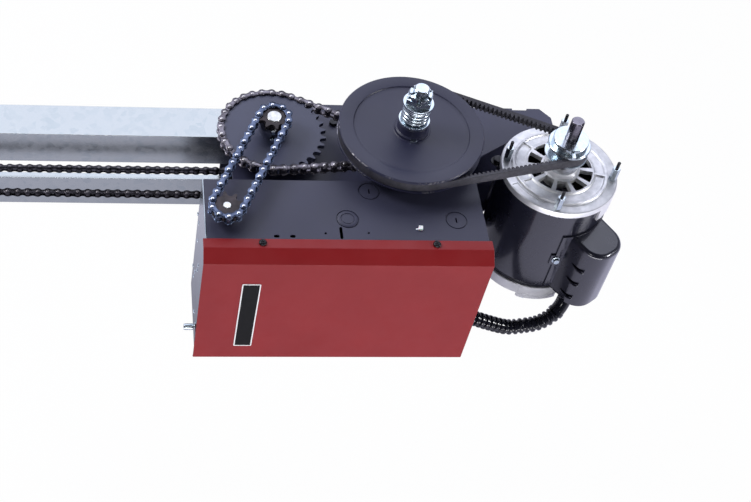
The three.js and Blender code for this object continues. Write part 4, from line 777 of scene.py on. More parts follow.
# The belt and hands have rubbed the paint off the rim's corners, down to bright iron.
rim_paint = powder_paint("pulley_black_enamel_worn_at_rim", *PULLEY_BLACK)
tree, shader, place = inside(rim_paint)
from_axis = add_node(tree, "ShaderNodeVectorMath", {0: place, 1: (clutch_x * MM, clutch_y * MM, 0)},
                     operation="SUBTRACT")
flat = add_node(tree, "ShaderNodeVectorMath", {0: from_axis.outputs[0], 1: (1, 1, 0)}, operation="MULTIPLY")
out = add_node(tree, "ShaderNodeVectorMath", {0: flat.outputs[0]}, operation="LENGTH")
corner = spread(tree, out.outputs["Value"], 0.0, 1.0, (RIM - 1.1) * MM, (RIM - 0.5) * MM)
patches = drift(tree, place, 40, 4, 0.0, 1.0, 0.5, 0.56)
flecks = drift(tree, place, 3, 6, 0.0, 1.0, 0.44, 0.56)
spots = add_node(tree, "ShaderNodeMath", {0: flecks, 1: patches}, operation="MULTIPLY").outputs[0]
worn = add_node(tree, "ShaderNodeMath", {0: corner, 1: spots}, operation="MULTIPLY").outputs[0]
paint = shader.inputs["Base Color"].links[0].from_socket
bare = add_node(tree, "ShaderNodeMix", {"Factor": worn, 6: paint, 7: linear("#8f8d93")}, data_type="RGBA")
tree.links.new(bare.outputs[2], shader.inputs["Base Color"])
tree.links.new(worn, shader.inputs["Metallic"])
pulley = new_piece("clutch_pulley_turned", mesh_of("clutch_pulley", turned(pulley_profile, 160, clutch_x, clutch_y)),
                   rim_paint, 24)
show(pulley, "clutch", "black_paint", "clutch_pulley")
key_outline = [(clutch_x - 4.5, clutch_y - 24.2), (clutch_x + 1.5, clutch_y - 25.2), (clutch_x + 3.5, clutch_y - 23.2),
               (clutch_x + 3, clutch_y - 18), (clutch_x - 5, clutch_y - 18)]
key = new_piece("clutch_drive_key", mesh_of("key", prism(key_outline, z1 - 3, z1 + 1.6)), zinc)
round_edges(key, 0.7)
show(key, "clutch", "zinc")

low, high = heights("pressure_collar")
collar_profile = [(SHAFT_BORE, low), (20.6, low), (21.2, low + 1), (20.8, low + 2.2), (18.8, low + 3.4),
                  (18.4, low + 5), (18.4, high - 2.4), (17.2, high - 0.6), (16, high), (SHAFT_BORE, high)]
collar = new_piece("pressure_collar_turned", mesh_of("collar", turned(collar_profile, 96, clutch_x, clutch_y)),
                   pulley_enamel, 24)
show(collar, "clutch", "black_paint", "pressure_collar")
washer("spring_washer_lower", "spring_washer_lower_disc", 19.4, zinc, "zinc", 0.8)
washer("spring_washer_upper", "spring_washer_upper_disc", 18.9, zinc, "zinc", 0.8)


def tube(points, radii, sides=16):
    """Closed round bar along a row of points, with a radius at each."""
    verts, faces = [], []
    side = Vector((0.3, 0.1, 1)).normalized()
    for i, point in enumerate(points):
        here = Vector(point)
        along = (Vector(points[min(i + 1, len(points) - 1)]) - Vector(points[max(i - 1, 0)])).normalized()
        side = (side - along * side.dot(along)).normalized()
        across = along.cross(side)
        for k in range(sides):
            turn = 2 * pi * k / sides
            verts.append(tuple(here + radii[i] * (cos(turn) * side + sin(turn) * across)))
    for i in range(len(points) - 1):
        for k in range(sides):
            j = (k + 1) % sides
            faces.append((i * sides + k, i * sides + j, (i + 1) * sides + j, (i + 1) * sides + k))
    faces += [tuple(range(sides))[::-1], tuple(range((len(points) - 1) * sides, len(points) * sides))]
    return verts, faces


SPRING_MEAN = 14.4
WIRE = 2.8
SPRING_TURNS = 4.8
CLOSED_TURNS = 0.7
z0, z1 = heights("clutch_spring")
steps = 180
coil = []
for i in range(steps + 1):
    share = i / steps
    turn = 2 * pi * SPRING_TURNS * share
    lift = min(1, max(0, (share * SPRING_TURNS - CLOSED_TURNS) / (SPRING_TURNS - 2 * CLOSED_TURNS)))
    coil.append((clutch_x + SPRING_MEAN * cos(turn), clutch_y + SPRING_MEAN * sin(turn),
                 z0 + WIRE + (z1 - z0 - 2 * WIRE) * lift))
spring = new_piece("clutch_spring_coil", mesh_of("spring", tube(coil, [WIRE] * len(coil), 14)), zinc)
show(spring, "clutch", "zinc", "clutch_spring")

z0, z1 = heights("castle_nut")
NUT = 17
NUT_TURN = 12
CROWN = 7
nut_profile = [(SHAFT_BORE, z0), (15.8, z0), (17.2, z0 + 1.2), (17.2, z1 - CROWN - 1.8), (15.4, z1 - CROWN),
               (14.4, z1 - CROWN), (14.4, z1 - 1), (13.4, z1), (SHAFT_BORE, z1)]
nut = new_piece("castle_nut_slotted",
                mesh_of("nut", prism(ring(NUT, 6, clutch_x, clutch_y, NUT_TURN), z0 - 1, z1 + 1)), zinc)
combine(nut, "INTERSECT", turned(nut_profile, 60, clutch_x, clutch_y))
for i in range(3):
    slot_box = prism([(-20, -2), (20, -2), (20, 2), (-20, 2)], z1 - CROWN, z1 + 1)
    turn = Matrix.Translation((clutch_x, clutch_y, 0)) @ Matrix.Rotation(radians(NUT_TURN + 60 * i), 4, "Z")
    combine(nut, "DIFFERENCE", placed(slot_box, turn))
round_edges(nut, 0.35, 2, 35)
show(nut, "clutch", "zinc", "castle_nut")

cotter_z = sum(heights("cotter_pin")) / 2
leg = [(-17.5, 0, 0), (-16, 0, 1.4), (-13.5, 0, 1.4), (-12, 0, 0), (0, 0, 0), (13.5, 0, 0), (15.2, 1.4, 0),
       (15.8, 4, -1)]
turn = Matrix.Translation((clutch_x, clutch_y, cotter_z)) @ Matrix.Rotation(radians(NUT_TURN), 4, "Z")
cotter = new_piece("cotter_pin_bent", mesh_of("cotter", placed(tube(leg, [1.2] * len(leg), 10), turn)), zinc)
show(cotter, "clutch", "zinc", "cotter_pin")


# ---------------------------------------------------------------- drive belt
# A cogged V-belt of black rubber: a plain woven back, raw-edge sides and moulded cogs inside, which
# let it bend round the small motor pulley.
BELT_INSET = 1.0
BELT_BACK = 6.1
BELT_SLOPE = 0.25
COG_DEPTH = 8.0
VALLEY_DEPTH = 4.6
COG_PITCH = 5.6
motor_x, motor_y = axis("rotor_shaft")
MOTOR_RIM = 26.5
belt_length, belt_at = loop_path((clutch_x, clutch_y, RIM - BELT_INSET), (motor_x, motor_y, MOTOR_RIM - BELT_INSET))
cogs = round(belt_length / COG_PITCH)
stations = []
for cog in range(cogs):
    for share, depth in ((0.0, VALLEY_DEPTH), (0.34, VALLEY_DEPTH), (0.48, COG_DEPTH), (0.86, COG_DEPTH)):
        stations.append((belt_at(belt_length * (cog + share) / cogs), depth))
verts, faces = [], []
for (x, y, out), depth in stations:
    half = BELT_BACK - depth * BELT_SLOPE
    section = ((0, -5.6), (0, 5.6), (0.5, BELT_BACK), (depth - 0.4, half + 0.1), (depth, half - 0.4),
               (depth, 0.4 - half), (depth - 0.4, -half - 0.1), (0.5, -BELT_BACK))
    verts += [(x - drop * cos(out), y - drop * sin(out), belt_plane + z) for drop, z in section]
around = 8
for i in range(len(stations)):
    for k in range(around):
        j = (k + 1) % around
        n = (i + 1) % len(stations)
        faces.append((i * around + k, n * around + k, n * around + j, i * around + j))

# Belt rubber is a dusty soft black; the back shows the faint lie of its cotton cover.
belt_rubber = finish("belt_rubber", 0.0, (14, 6, "#2d2c34", "#3e3d46"), (5, 5, 0.5, 0.75), (0.9, 3, 0.12, 0.6))
belt = new_piece("drive_belt_cogged", mesh_of("belt", (verts, faces)), belt_rubber, 30)
show(belt, "frame", "rubber", "drive_belt")


# ---------------------------------------------------------------- limit mechanism
# A blued chain carries the shaft's turns to a lead screw in the box. Two nylon nuts travel on the
# screw and trip the limit switches; a bronze bushing guides the screw through the box top.

# Blued spring steel has a thin smooth oxide: deep slate blue with clear glints. Its pins are polished.
blued_chain = finish("blued_spring_steel", 0.9, (9, 5, "#3f495f", "#646f88"), (4, 5, 0.2, 0.38))
polished_pin = finish("polished_pin_steel", 1.0, (5, 4, "#c4cad8", "#eceef4"), 0.22)
LIMIT_TEETH = 9
LIMIT_LINKS = 34
LIMIT_BORE = 5.3
limit_x, limit_y = axis("limit_shaft")
limit_plane = sum(heights("limit_chain")) / 2
limit_places = chain("limit_chain", (out_x, out_y, pitch_radius(LIMIT_TEETH)),
                     (limit_x, limit_y, pitch_radius(LIMIT_TEETH)), LIMIT_LINKS, limit_plane, blued_chain,
                     polished_pin, "blue_steel")

# Heat-blackened sprockets keep a warm brown cast where the oil has dried.
browned = finish("browned_steel", 0.5, (10, 6, "#272225", "#3a3336"), (4, 5, 0.32, 0.52))
show(sprocket("limit_drive_sprocket", "limit_drive_sprocket_cut", LIMIT_TEETH, (out_x, out_y), limit_plane, SHAFT_BORE,
              SMALL_HUB, limit_places, browned), "output", "oiled_steel", "limit_drive_sprocket")
set_screw("drive_sprocket_set_screw", out_x, out_y, heights("limit_drive_sprocket")[0] + 4.5, -96, SMALL_HUB, 2.6,
          "output")
show(sprocket("limit_sprocket", "limit_sprocket_cut", LIMIT_TEETH, (limit_x, limit_y), limit_plane, LIMIT_BORE, 9,
              limit_places, browned), "limit_screw", "oiled_steel", "limit_sprocket")


def threaded(x, y, radius, depth, lead, z0, z1, sides=32):
    """Rod with a rolled thread: the radius rises and falls along a helix."""
    rows = ceil((z1 - z0) / lead * 6)
    verts = []
    for row in range(rows + 1):
        z = z0 + (z1 - z0) * row / rows
        for i in range(sides):
            wave = abs(((z / lead - i / sides) % 1) * 2 - 1)
            r = radius - depth * min(1, wave * 1.25)
            verts.append((x + r * cos(2 * pi * i / sides), y + r * sin(2 * pi * i / sides), z))
    return verts, closed_skin(rows + 1, sides)


low, high = heights("limit_shaft")
LIMIT_SHAFT = 5
SCREW_LEAD = 2.5
THREAD_LOW, THREAD_HIGH = low + 14, 88
screw = new_piece("limit_lead_screw", mesh_of(
    "limit_screw", threaded(limit_x, limit_y, LIMIT_SHAFT, 0.9, SCREW_LEAD, THREAD_LOW, THREAD_HIGH),
    turned([(0, low), (LIMIT_SHAFT - 0.6, low), (LIMIT_SHAFT, low + 0.6), (LIMIT_SHAFT, THREAD_LOW),
            (0, THREAD_LOW)], 32, limit_x, limit_y),
    turned([(0, THREAD_HIGH), (LIMIT_SHAFT, THREAD_HIGH), (LIMIT_SHAFT, high - 0.6), (LIMIT_SHAFT - 0.6, high),
            (0, high)], 32, limit_x, limit_y)), bright_shaft, 40)
show(screw, "limit_screw", "zinc", "limit_shaft")

# Sintered bronze, porous and oil-filled: a dull copper gold with a fine speckle.
bronze = finish("sintered_bronze", 1.0, (1, 6, "#9a6238", "#d09a6c"), 0.42, (0.6, 4, 0.05, 0.5))
low, high = heights("limit_bushing")
plate = high - 1.8
bushing = turned([(LIMIT_BORE, low), (6.8, low), (6.8, plate), (8.1, plate), (8.5, plate + 0.4), (8.5, high - 0.4),
                  (8.1, high), (LIMIT_BORE, high)], 64, limit_x, limit_y)
show(new_piece("limit_bushing_bronze", mesh_of("limit_bushing", bushing), bronze), "frame", "bronze", "limit_bushing")


def moulded_nylon(name, dark, light):
    """Moulded nylon: milky, slightly translucent and soft at the edges, with a slight sheen off the mould."""
    return finish(name, 0.0, (18, 4, dark, light), 0.4, None, {"Subsurface Weight": 0.15, "Subsurface Scale": 2 * MM})


# The nuts are natural nylon, a warm ivory, and the wire clip is bleached white.
nylon = moulded_nylon("natural_nylon", "#dcd7c8", "#ebe8de")
white_nylon = moulded_nylon("white_nylon", "#eeeff2", "#f8f9fb")
for node in ("limit_nut_upper", "limit_nut_lower"):
    show(copy_shape(node, node + "_moulded", nylon, 0.6), node.replace("limit_nut_", "") + "_limit_nut", "nylon", node)
show(copy_shape("limit_switch_bracket", "limit_switch_shelf", galvanised, 0.4), "frame", "galvanised",
     "limit_switch_bracket")


# ---------------------------------------------------------------- electrical box
# A folded 1.6 mm steel box under dark slate powder paint. Its top carries punched knockouts, slots
# and small holes; the unpainted left end is closed by a galvanised plate.

# Slate powder paint, a little bluer and duller than the frame's black.
slate_paint = powder_paint("slate_powder_paint", "#343548", "#3a3b4f", 0.47)
box = copy_shape("electrical_box", "electrical_box_folded", slate_paint, 0)
box_top = heights("electrical_box")[1]
PUNCH = 1.2


def ring_tool(x, y, inner, outer):
    """Tool that presses a shallow ring into the box top."""
    return sleeve(inner, outer, box_top - PUNCH, box_top + 1, 48, x, y)


def oval(x, y, half_x, half_y, turn=0.0, count=20):
    """Rounded slot outline."""
    points = []
    long, short = max(half_x, half_y), min(half_x, half_y)
    lay = radians(turn) + (pi / 2 if half_y > half_x else 0)
    for i in range(count):
        a = 2 * pi * (i + 0.5) / count - pi / 2
        u, v = short * cos(a) + (long - short if cos(a) > 0 else short - long), short * sin(a)
        points.append((x + u * cos(lay) - v * sin(lay), y + u * sin(lay) + v * cos(lay)))
    return points


knockouts = ((110, -101), (211, -145))
punched = [prism(oval(out_x + x, out_y + y, hx, hy), box_top - 3, box_top + 3)
           for x, y, hx, hy in ((69.2, -166.2, 1.9, 9.2), (-8, -172, 3.4, 2.2), (11, -172, 3.4, 2.2),
                                (50.5, -167, 1.5, 1.49), (102, -166, 1.5, 1.49))]
punched += [prism(oval(out_x + x, out_y + y, 1.0, 3.6), box_top - 3, box_top + 3) for x, y in knockouts]
punched += [ring_tool(out_x + x, out_y + y, 11.8, 13.2) for x, y in knockouts]
pressed_x, pressed_y = out_x + 79, out_y - 145
punched += [ring_tool(pressed_x, pressed_y, 7.6, 8.2), ring_tool(pressed_x, pressed_y, 12.6, 13.8)]
combine(box, "DIFFERENCE", *punched)
round_edges(box, 0.25, 2, 40)
show(box, "frame", "dark_paint", "electrical_box")

embossed = turned([(0, box_top - 1), (12.4, box_top - 1), (12.4, box_top + 0.15), (11.2, box_top + 0.9),
                   (8.8, box_top + 1.0), (8.2, box_top + 0.1), (7.6, box_top + 0.1), (7.0, box_top + 0.8),
                   (0, box_top + 1.2)], 64, pressed_x, pressed_y)
show(new_piece("box_top_knockout", mesh_of("knockout", embossed), slate_paint), "frame", "dark_paint")
clip_x, clip_y = out_x + 164.5, out_y - 159
clip = new_piece("wire_clip", mesh_of(
    "clip", prism([(clip_x - 3, clip_y - 2.4), (clip_x + 3, clip_y - 3), (clip_x + 3.8, clip_y + 3),
                   (clip_x - 1, clip_y + 3.4)], box_top, box_top + 3),
    prism([(clip_x - 5, clip_y - 1.4), (clip_x - 1, clip_y - 1.8), (clip_x - 1, clip_y + 0.4),
           (clip_x - 5, clip_y + 0.2)], box_top, box_top + 0.9)), white_nylon)
round_edges(clip, 0.5)
show(clip, "frame", "nylon")

# The end plate's galvanising is drawn darker and bluer than the angles': a copy of the same zinc
# with painted shade, for the dim floor under the machine that it reflects.
shaded_end_plate_zinc = galvanised_steel("galvanised_steel_painted_shade", "#8b9298", "#979ea4")
panel = copy_shape("left_end_panel", "left_end_plate", shaded_end_plate_zinc, 0.3)
show(panel, "frame", "galvanised", "left_end_panel")
panel_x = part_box("left_end_panel")[0].x / MM
HANGER_TO_SHAFT = 77.5
rivets = []
for y, z in ((-106, 12), (-88, -62), (-141, 7), (-113, -42), (-134, -12), (-104, -64), (-148, -80), (-82, 35),
             (-99, 38)):
    head = turned([(0, -0.3), (2.6, -0.3), (2.5, 0.4), (1.8, 0.9), (0, 1.1)], 20)
    face_out = Matrix.Translation((panel_x, y - HANGER_TO_SHAFT, z)) @ Matrix.Rotation(-pi / 2, 4, "Y")
    rivets.append(placed(head, face_out))
show(new_piece("end_plate_rivets", mesh_of("rivets", *rivets), zinc), "frame", "zinc")


def box_corners(node):
    """The two far corners of a node's box, in millimetres."""
    return [[c / MM for c in corner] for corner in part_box(node)]


low, high = box_corners("antenna_connector")
antenna_y, antenna_z = (low[1] + high[1]) / 2, (low[2] + high[2]) / 2
stem = turned([(0, 0), (4.1, 0), (4.1, 7), (3.4, 7.4), (3.4, 9), (4.1, 9.4), (4.1, 18.6), (3.6, 20.6), (1.4, 20.6),
               (1.4, 18), (0, 18)], 40)
lay = Matrix.Translation((high[0], antenna_y, antenna_z)) @ Matrix.Rotation(-pi / 2, 4, "Y")
nut_lay = Matrix.Translation((panel_x - 0.3, antenna_y, antenna_z)) @ Matrix.Rotation(-pi / 2, 4, "Y")
antenna = new_piece("antenna_socket", mesh_of("antenna", placed(stem, lay),
                                              placed(prism(ring(6.5, 6), 0, 2.5), nut_lay)), zinc)
round_edges(antenna, 0.3, 2, 40)
show(antenna, "frame", "zinc", "antenna_connector")

# Inside the box: an etched circuit board with relays and terminals, and a laminated transformer.
# Green lacquer over copper tracks 0.36 mm wide, round fields half a grid step wide and a quarter high.
BOARD_GRID = 9
board = finish("etched_circuit_board", 0.0, "#1f5a3a", 0.42)
tree, shader, place = inside(board)
tracks = add_node(tree, "ShaderNodeTexBrick", {"Vector": place, "Scale": 1 / (BOARD_GRID * MM), "Mortar Size": 0.04,
                                               "Color1": linear("#1d5436"), "Color2": linear("#236344"),
                                               "Mortar": linear("#4f8a5c")})
tree.links.new(tracks.outputs["Color"], shader.inputs["Base Color"])
relief(tree, shader, tracks.outputs["Fac"], 0.05, 0.5)
show(copy_shape("logic_board", "logic_board_populated", board, 0.3), "frame", "circuit_board", "logic_board")

# Stacked steel sheets under brown varnish: fine dark and light bands with a dull shine. The sheets
# are drawn 1.9 mm thick instead of half a millimetre, so that they show.
SHEET = 1.885
laminations = finish("varnished_laminations", 0.8, "#56524d", 0.4)
tree, shader, place = inside(laminations)
sheets = add_node(tree, "ShaderNodeTexWave", {"Vector": place, "Scale": BAND / (SHEET * MM), "Distortion": 0.4},
                  wave_type="BANDS", bands_direction="Z")
tree.links.new(spread(tree, sheets.outputs["Fac"], "#3c3935", "#75706a"), shader.inputs["Base Color"])
relief(tree, shader, sheets.outputs["Fac"], 0.1, 0.6)
show(copy_shape("transformer", "transformer_stack", laminations, 0.5), "frame", "laminations", "transformer")


# ---------------------------------------------------------------- box cover and its label
# The front cover is bent from 1.5 mm sheet in red powder paint: a narrow rear flange, a sloping
# step and a flat face, held by two black screws. A blank black plate with a white rim is glued on.

# Red powder paint: a deep even red with a soft, slightly uneven sheen and little shine.
red_paint = finish("red_powder_paint", 0.0, (70, 4, "#871d20", "#8c2124"), (26, 8, 0.36, 0.5), (1.6, 3, 0.1, 0.35),
                   {"Specular IOR Level": 0.25})
cover = copy_shape("box_cover", "box_cover_bent", red_paint, 0)
low, high = box_corners("box_cover")
relief_cut = [(low[0] - 1, low[1] + 4), (low[0] + 14, low[1] + 4), (low[0] + 14, high[1] + 1),
              (low[0] - 1, high[1] + 1)]
combine(cover, "DIFFERENCE", prism(relief_cut, low[2] - 1, low[2] + 14))
round_edges(cover, 1.2, 3, 20)
show(cover, "frame", "red_paint", "box_cover")
for side in ("left", "right"):
    node = "cover_screw_" + side
    x, y = axis(node)
    low, high = heights(node)
    seat = high - 2.8
    head = turned([(0, seat), (4.6, seat), (4.6, seat + 1.5), (3.9, seat + 2.4), (2.4, high), (0, high)], 48, x, y)
    screw = new_piece(node + "_pan_head", mesh_of(node, head), black_oxide, 50)
    combine(screw, "UNION", prism(ring(2.35, 20, x, y), low, seat + 0.5))
    for turn in (20, 110):
        combine(screw, "DIFFERENCE", prism(oval(x, y, 2.6, 0.5, turn), high - 1.2, high + 1))
    show(screw, "frame", "black_paint", node)

# The label's face is matt black film that hardly shines, and its rim is a glossier white print.
black_print = finish("black_label_film", 0.0, "#0c0c0d", (12, 6, 0.45, 0.55), None, {"Specular IOR Level": 0.12})
white_print = finish("white_label_print", 0.0, "#efeff0", (12, 6, 0.3, 0.42))
LABEL_RIM = 1.5


def rounded(x0, y0, x1, y1, radius, steps=5):
    """Outline of a rectangle with rounded corners."""
    centres = ((x1 - radius, y1 - radius, 0), (x0 + radius, y1 - radius, 90), (x0 + radius, y0 + radius, 180),
               (x1 - radius, y0 + radius, 270))
    return [(cx + radius * cos(radians(a + 90 * i / steps)), cy + radius * sin(radians(a + 90 * i / steps)))
            for cx, cy, a in centres for i in range(steps + 1)]


low, high = box_corners("label_plate")
upright = Matrix.Translation((0, high[1], 0)) @ Matrix.Rotation(pi / 2, 4, "X")
thick = high[1] - low[1]
rim = placed(prism(rounded(low[0], low[2], high[0], high[2], 1.6), 0, thick - 0.1), upright)
face = placed(prism(rounded(low[0] + LABEL_RIM, low[2] + LABEL_RIM, high[0] - LABEL_RIM, high[2] - LABEL_RIM, 0.8),
                    0.1, thick), upright)
show(new_piece("label_rim", mesh_of("label_rim", rim), white_print), "frame", "black_paint", "label_plate")
show(new_piece("label_face", mesh_of("label_face", face), black_print), "frame", "black_paint", "label_plate")


# ---------------------------------------------------------------- motor
# An open drip-proof motor: die-cast aluminium end bells over a rolled steel shell, drawn together
# by four long through bolts. The steel saddle ties it to the frame plate.

# Black motor enamel: dark and glossy, with a clear coat that gives sharp highlights on the round shell.
shell_enamel = finish("black_motor_enamel", 0.0, (50, 4, "#0f0f19", "#141420"), (20, 8, 0.26, 0.32), (5, 2, 0.02, 0.2),
                      {"Coat Weight": 0.9, "Coat Roughness": 0.12, "Coat Tint": linear("#ebecfc")})


def die_casting(name, painted_side_colour):
    """Die-cast aluminium: pale grey and matt. Faces that do not face up take a painted highlight colour."""
    material = finish(name, 0.8, "#dcdcde", (6, 8, 0.38, 0.5), (1.3, 6, 0.14, 0.5))
    tree, shader, place = inside(material)
    as_cast = drift(tree, place, 10, 10, "#bfc0c4", "#d9d9dc")
    # Painted highlight: the colour follows which way a face points; sides take the side colour, tops the cast grey.
    geometry = add_node(tree, "ShaderNodeNewGeometry")
    lean = add_node(tree, "ShaderNodeVectorMath", {0: geometry.outputs["Normal"], 1: (0, 0, 1)},
                    operation="DOT_PRODUCT")
    upward = spread(tree, lean.outputs["Value"], 0.0, 1.0, 0.6, 0.95)
    skin = add_node(tree, "ShaderNodeMix", {"Factor": upward, 6: linear(painted_side_colour), 7: as_cast}, data_type="RGBA")
    tree.links.new(skin.outputs[2], shader.inputs["Base Color"])
    return material


# The top bell's sides are painted near white, a painted highlight for the bright floor they reflect; the bottom bell's
# side colour stays close to its cast grey.
cast_aluminium = die_casting("die_cast_aluminium_painted_bright_sides", "#f2f2f4")
dull_casting = die_casting("die_cast_aluminium_dull", "#ceced2")

low, high = heights("motor_shell")
SHELL = 70.5
shell_profile = [(69.3, low), (SHELL, low), (SHELL, low + 3), (SHELL - 0.5, low + 3.6), (SHELL - 0.5, low + 4.6),
                 (SHELL, low + 5.2), (SHELL, high), (69.3, high)]
show(new_piece("motor_shell_rolled", mesh_of("shell", turned(shell_profile, 160, motor_x, motor_y)), shell_enamel, 25),
     "frame", "black_paint", "motor_shell")


def sector(inner, outer, start, end, z0, z1, steps=8):
    """Part of a ring round the motor axis, from one direction to another in degrees."""
    turns = [radians(start + (end - start) * i / steps) for i in range(steps + 1)]
    outline = [(motor_x + outer * cos(a), motor_y + outer * sin(a)) for a in turns]
    outline += [(motor_x + inner * cos(a), motor_y + inner * sin(a)) for a in reversed(turns)]
    return prism(outline, z0, z1)


def radial_bar(inner, outer, direction, half, z0, z1):
    """Straight bar out from the motor axis, in a direction in degrees, `half` wide to each side."""
    a = radians(direction)
    corners = ((inner, -half), (outer, -half), (outer, half), (inner, half))
    return prism([(motor_x + u * cos(a) - v * sin(a), motor_y + u * sin(a) + v * cos(a)) for u, v in corners], z0, z1)


BELL = 73.8
BOLT_CIRCLE = 66.7
MOTOR_BORE = 8.3
BOLT_TURNS = [76 - 90 * i for i in range(4)]
CAPACITOR_SIDE = -55
seat = 85
deck = 93.5
bell_profile = [
    (MOTOR_BORE, 77.5), (19, 77.5), (19, 90.5), (64, 90.5), (64, 81), (69, 81), (69, seat), (BELL, seat),
    (BELL, deck - 2.2), (BELL - 0.8, deck - 0.7), (BELL - 2.2, deck), (62.2, deck), (61.2, deck + 0.5),
    (60.6, deck + 3), (60, deck + 3.5), (57.6, deck + 3.5), (56.8, deck + 3), (55.6, deck + 1.4), (54.4, deck + 1.1),
    (45.6, deck + 1.3), (44.6, deck + 1.9), (43.6, deck + 3.2), (42.6, deck + 3.6), (27, deck + 3.6),
    (23.6, deck + 4.4), (22, deck + 5.4), (21.2, deck + 8.6), (20, deck + 10.2), (17.6, deck + 10.8),
    (16, deck + 10), (15.2, deck + 8.6), (11, deck + 8.2), (MOTOR_BORE, deck + 8.2),
]
bell = new_piece("motor_top_bell_cast", mesh_of("top_bell", turned(bell_profile, 144, motor_x, motor_y)),
                 cast_aluminium, 32)
VENTS = 10
for i in range(VENTS):
    middle = 12 + 360 / VENTS * i
    combine(bell, "DIFFERENCE", sector(24.6, 41, middle - 13.6, middle + 13.6, 70, deck + 20))
combine(bell, "UNION", sector(70.8, BELL, CAPACITOR_SIDE, CAPACITOR_SIDE + 60, 65, seat + 1, 16))
for direction in (-13, 59, 131, 203):
    combine(bell, "UNION", radial_bar(41.6, 60, direction, 1.3, deck - 1, deck + 3.3))
for direction in BOLT_TURNS:
    combine(bell, "DIFFERENCE", radial_bar(BOLT_CIRCLE - 2.3, BOLT_CIRCLE + 2.3, direction, 2.3, 75, deck + 4))
for direction, width in ((-110, 0.6), (141, 3.0)):
    combine(bell, "DIFFERENCE", radial_bar(BELL - 0.9, BELL + 3, direction, width, seat - 1, deck + 2))
combine(bell, "DIFFERENCE", sector(63, 71, -158, -118, deck - 0.8, deck + 1, 12))
round_edges(bell, 0.45, 2, 42)
show(bell, "frame", "aluminium", "motor_top_bell")

low, high = heights("motor_bottom_bell")
foot = low + 5
bottom_profile = [
    (0, foot), (70, foot), (72.6, foot + 0.8), (BELL, foot + 2.4), (BELL, foot + 17.6), (BELL - 1, foot + 18.5),
    (69, foot + 18.5), (69, high), (64, high), (64, foot + 7), (19, foot + 7), (19, foot + 15), (MOTOR_BORE, foot + 15),
    (MOTOR_BORE, foot + 4), (0, foot + 4),
]
bottom = new_piece("motor_bottom_bell_cast", mesh_of("bottom_bell", turned(bottom_profile, 144, motor_x, motor_y)),
                   dull_casting, 32)
for direction in BOLT_TURNS:
    combine(bottom, "UNION", sector(58, BELL, direction - 8, direction + 34, low, foot + 2, 10))
    combine(bottom, "DIFFERENCE", radial_bar(BOLT_CIRCLE - 2.3, BOLT_CIRCLE + 2.3, direction, 2.3, low - 2, high + 2))
for direction in (-112, -158, 22):
    combine(bottom, "DIFFERENCE", radial_bar(BELL - 0.8, BELL + 3, direction, 1.2, low - 1, foot + 19))
round_edges(bottom, 0.5, 2, 42)
show(bottom, "frame", "aluminium", "motor_bottom_bell")

show(copy_shape("stator_core", "stator_core_stack", laminations, 0), "frame", "laminations", "stator_core")
show(copy_shape("motor_saddle", "motor_saddle_formed", black_paint, 0.8), "frame", "black_paint", "motor_saddle")

# Ground motor shaft, darker than the zinc and bare; the flat for the set screw faces the front.
ground_shaft = finish("ground_shaft_steel", 1.0, (8, 6, "#706d76", "#817e88"), (4, 6, 0.24, 0.32))
low, high = heights("rotor_shaft")
core_low, core_high = heights("stator_core")
rotor_profile = [(0, low), (7.4, low), (8, low + 0.8), (8, core_low), (39.7, core_low), (39.7, core_high),
                 (8, core_high), (8, high - 1), (7.2, high), (0, high)]
rotor = new_piece("rotor_shaft_ground", mesh_of("rotor", turned(rotor_profile, 64, motor_x, motor_y)), ground_shaft)
combine(rotor, "DIFFERENCE", radial_bar(5.9, 12, -52, 2.4, 110, high + 2))
show(rotor, "motor", "zinc", "rotor_shaft")

low, high = heights("motor_pulley")
rim_low, rim_high = low + 4, high - 8
MOTOR_HUB = 21.9
motor_pulley_profile = [
    (MOTOR_BORE, low), (15.4, low), (16, low + 0.6), (16, rim_low - 0.4), (25.4, rim_low), (MOTOR_RIM, rim_low + 0.9),
    *v_groove(MOTOR_RIM), (MOTOR_RIM, rim_high - 0.9), (25.6, rim_high), (MOTOR_HUB, rim_high),
    (MOTOR_HUB, high - 0.6), (MOTOR_HUB - 0.6, high), (MOTOR_BORE, high),
]
motor_pulley = new_piece("motor_pulley_turned",
                         mesh_of("motor_pulley", turned(motor_pulley_profile, 128, motor_x, motor_y)), zinc, 25)
show(motor_pulley, "motor", "zinc", "motor_pulley")
set_screw("motor_pulley_set_screw", motor_x, motor_y, high - 4.5, -95, MOTOR_HUB, 2.6, "motor")

# Bolt ends are blackened thread above the bright coupling nuts.
NUT_TOP = 114.3
for index, direction in enumerate(BOLT_TURNS):
    node = f"through_bolt_{index + 1}"
    x = motor_x + BOLT_CIRCLE * cos(radians(direction))
    y = motor_y + BOLT_CIRCLE * sin(radians(direction))
    low, high = heights(node)
    nut = new_piece(node + "_coupling_nut", mesh_of(node, prism(ring(5, 6, x, y, 15 + 20 * index), deck + 0.3, NUT_TOP),
                                                    prism(ring(5, 6, x, y, 40), low, low + 4)), zinc)
    round_edges(nut, 0.5)
    show(nut, "frame", "zinc", node)
    rod = new_piece(node + "_rod", mesh_of(node, threaded(x, y, 2.1, 0.35, 0.9, NUT_TOP - 1, high, 20),
                                           bar(2.0, low + 2, NUT_TOP - 0.5, 0, 20, x, y)), black_oxide, 60)
    show(rod, "frame", "zinc", node)


# ---------------------------------------------------------------- capacitor and its cover
# The start capacitor is an aluminium can. Its drawn steel cover has a softly rounded top, louvre
# slots, and a flange screwed to the motor shell; all of it wears the motor's black enamel.
CAP_HEIGHT = 101
cap_frame = Matrix.Translation((motor_x, motor_y, 0)) @ Matrix.Rotation(radians(CAPACITOR_SIDE), 4, "Z")
cap_bottom = heights("capacitor_cover")[0]
cap_top = cap_bottom + CAP_HEIGHT
CAP_HALF = 30
CAP_NEAR = 28.4
CAP_FLARE = 2.4
CAP_REACH = 113.5
CAP_CORNER = 24
NEAR_CORNER = 26
CAP_ROUND = 5.5
CAP_FALL = 0.11


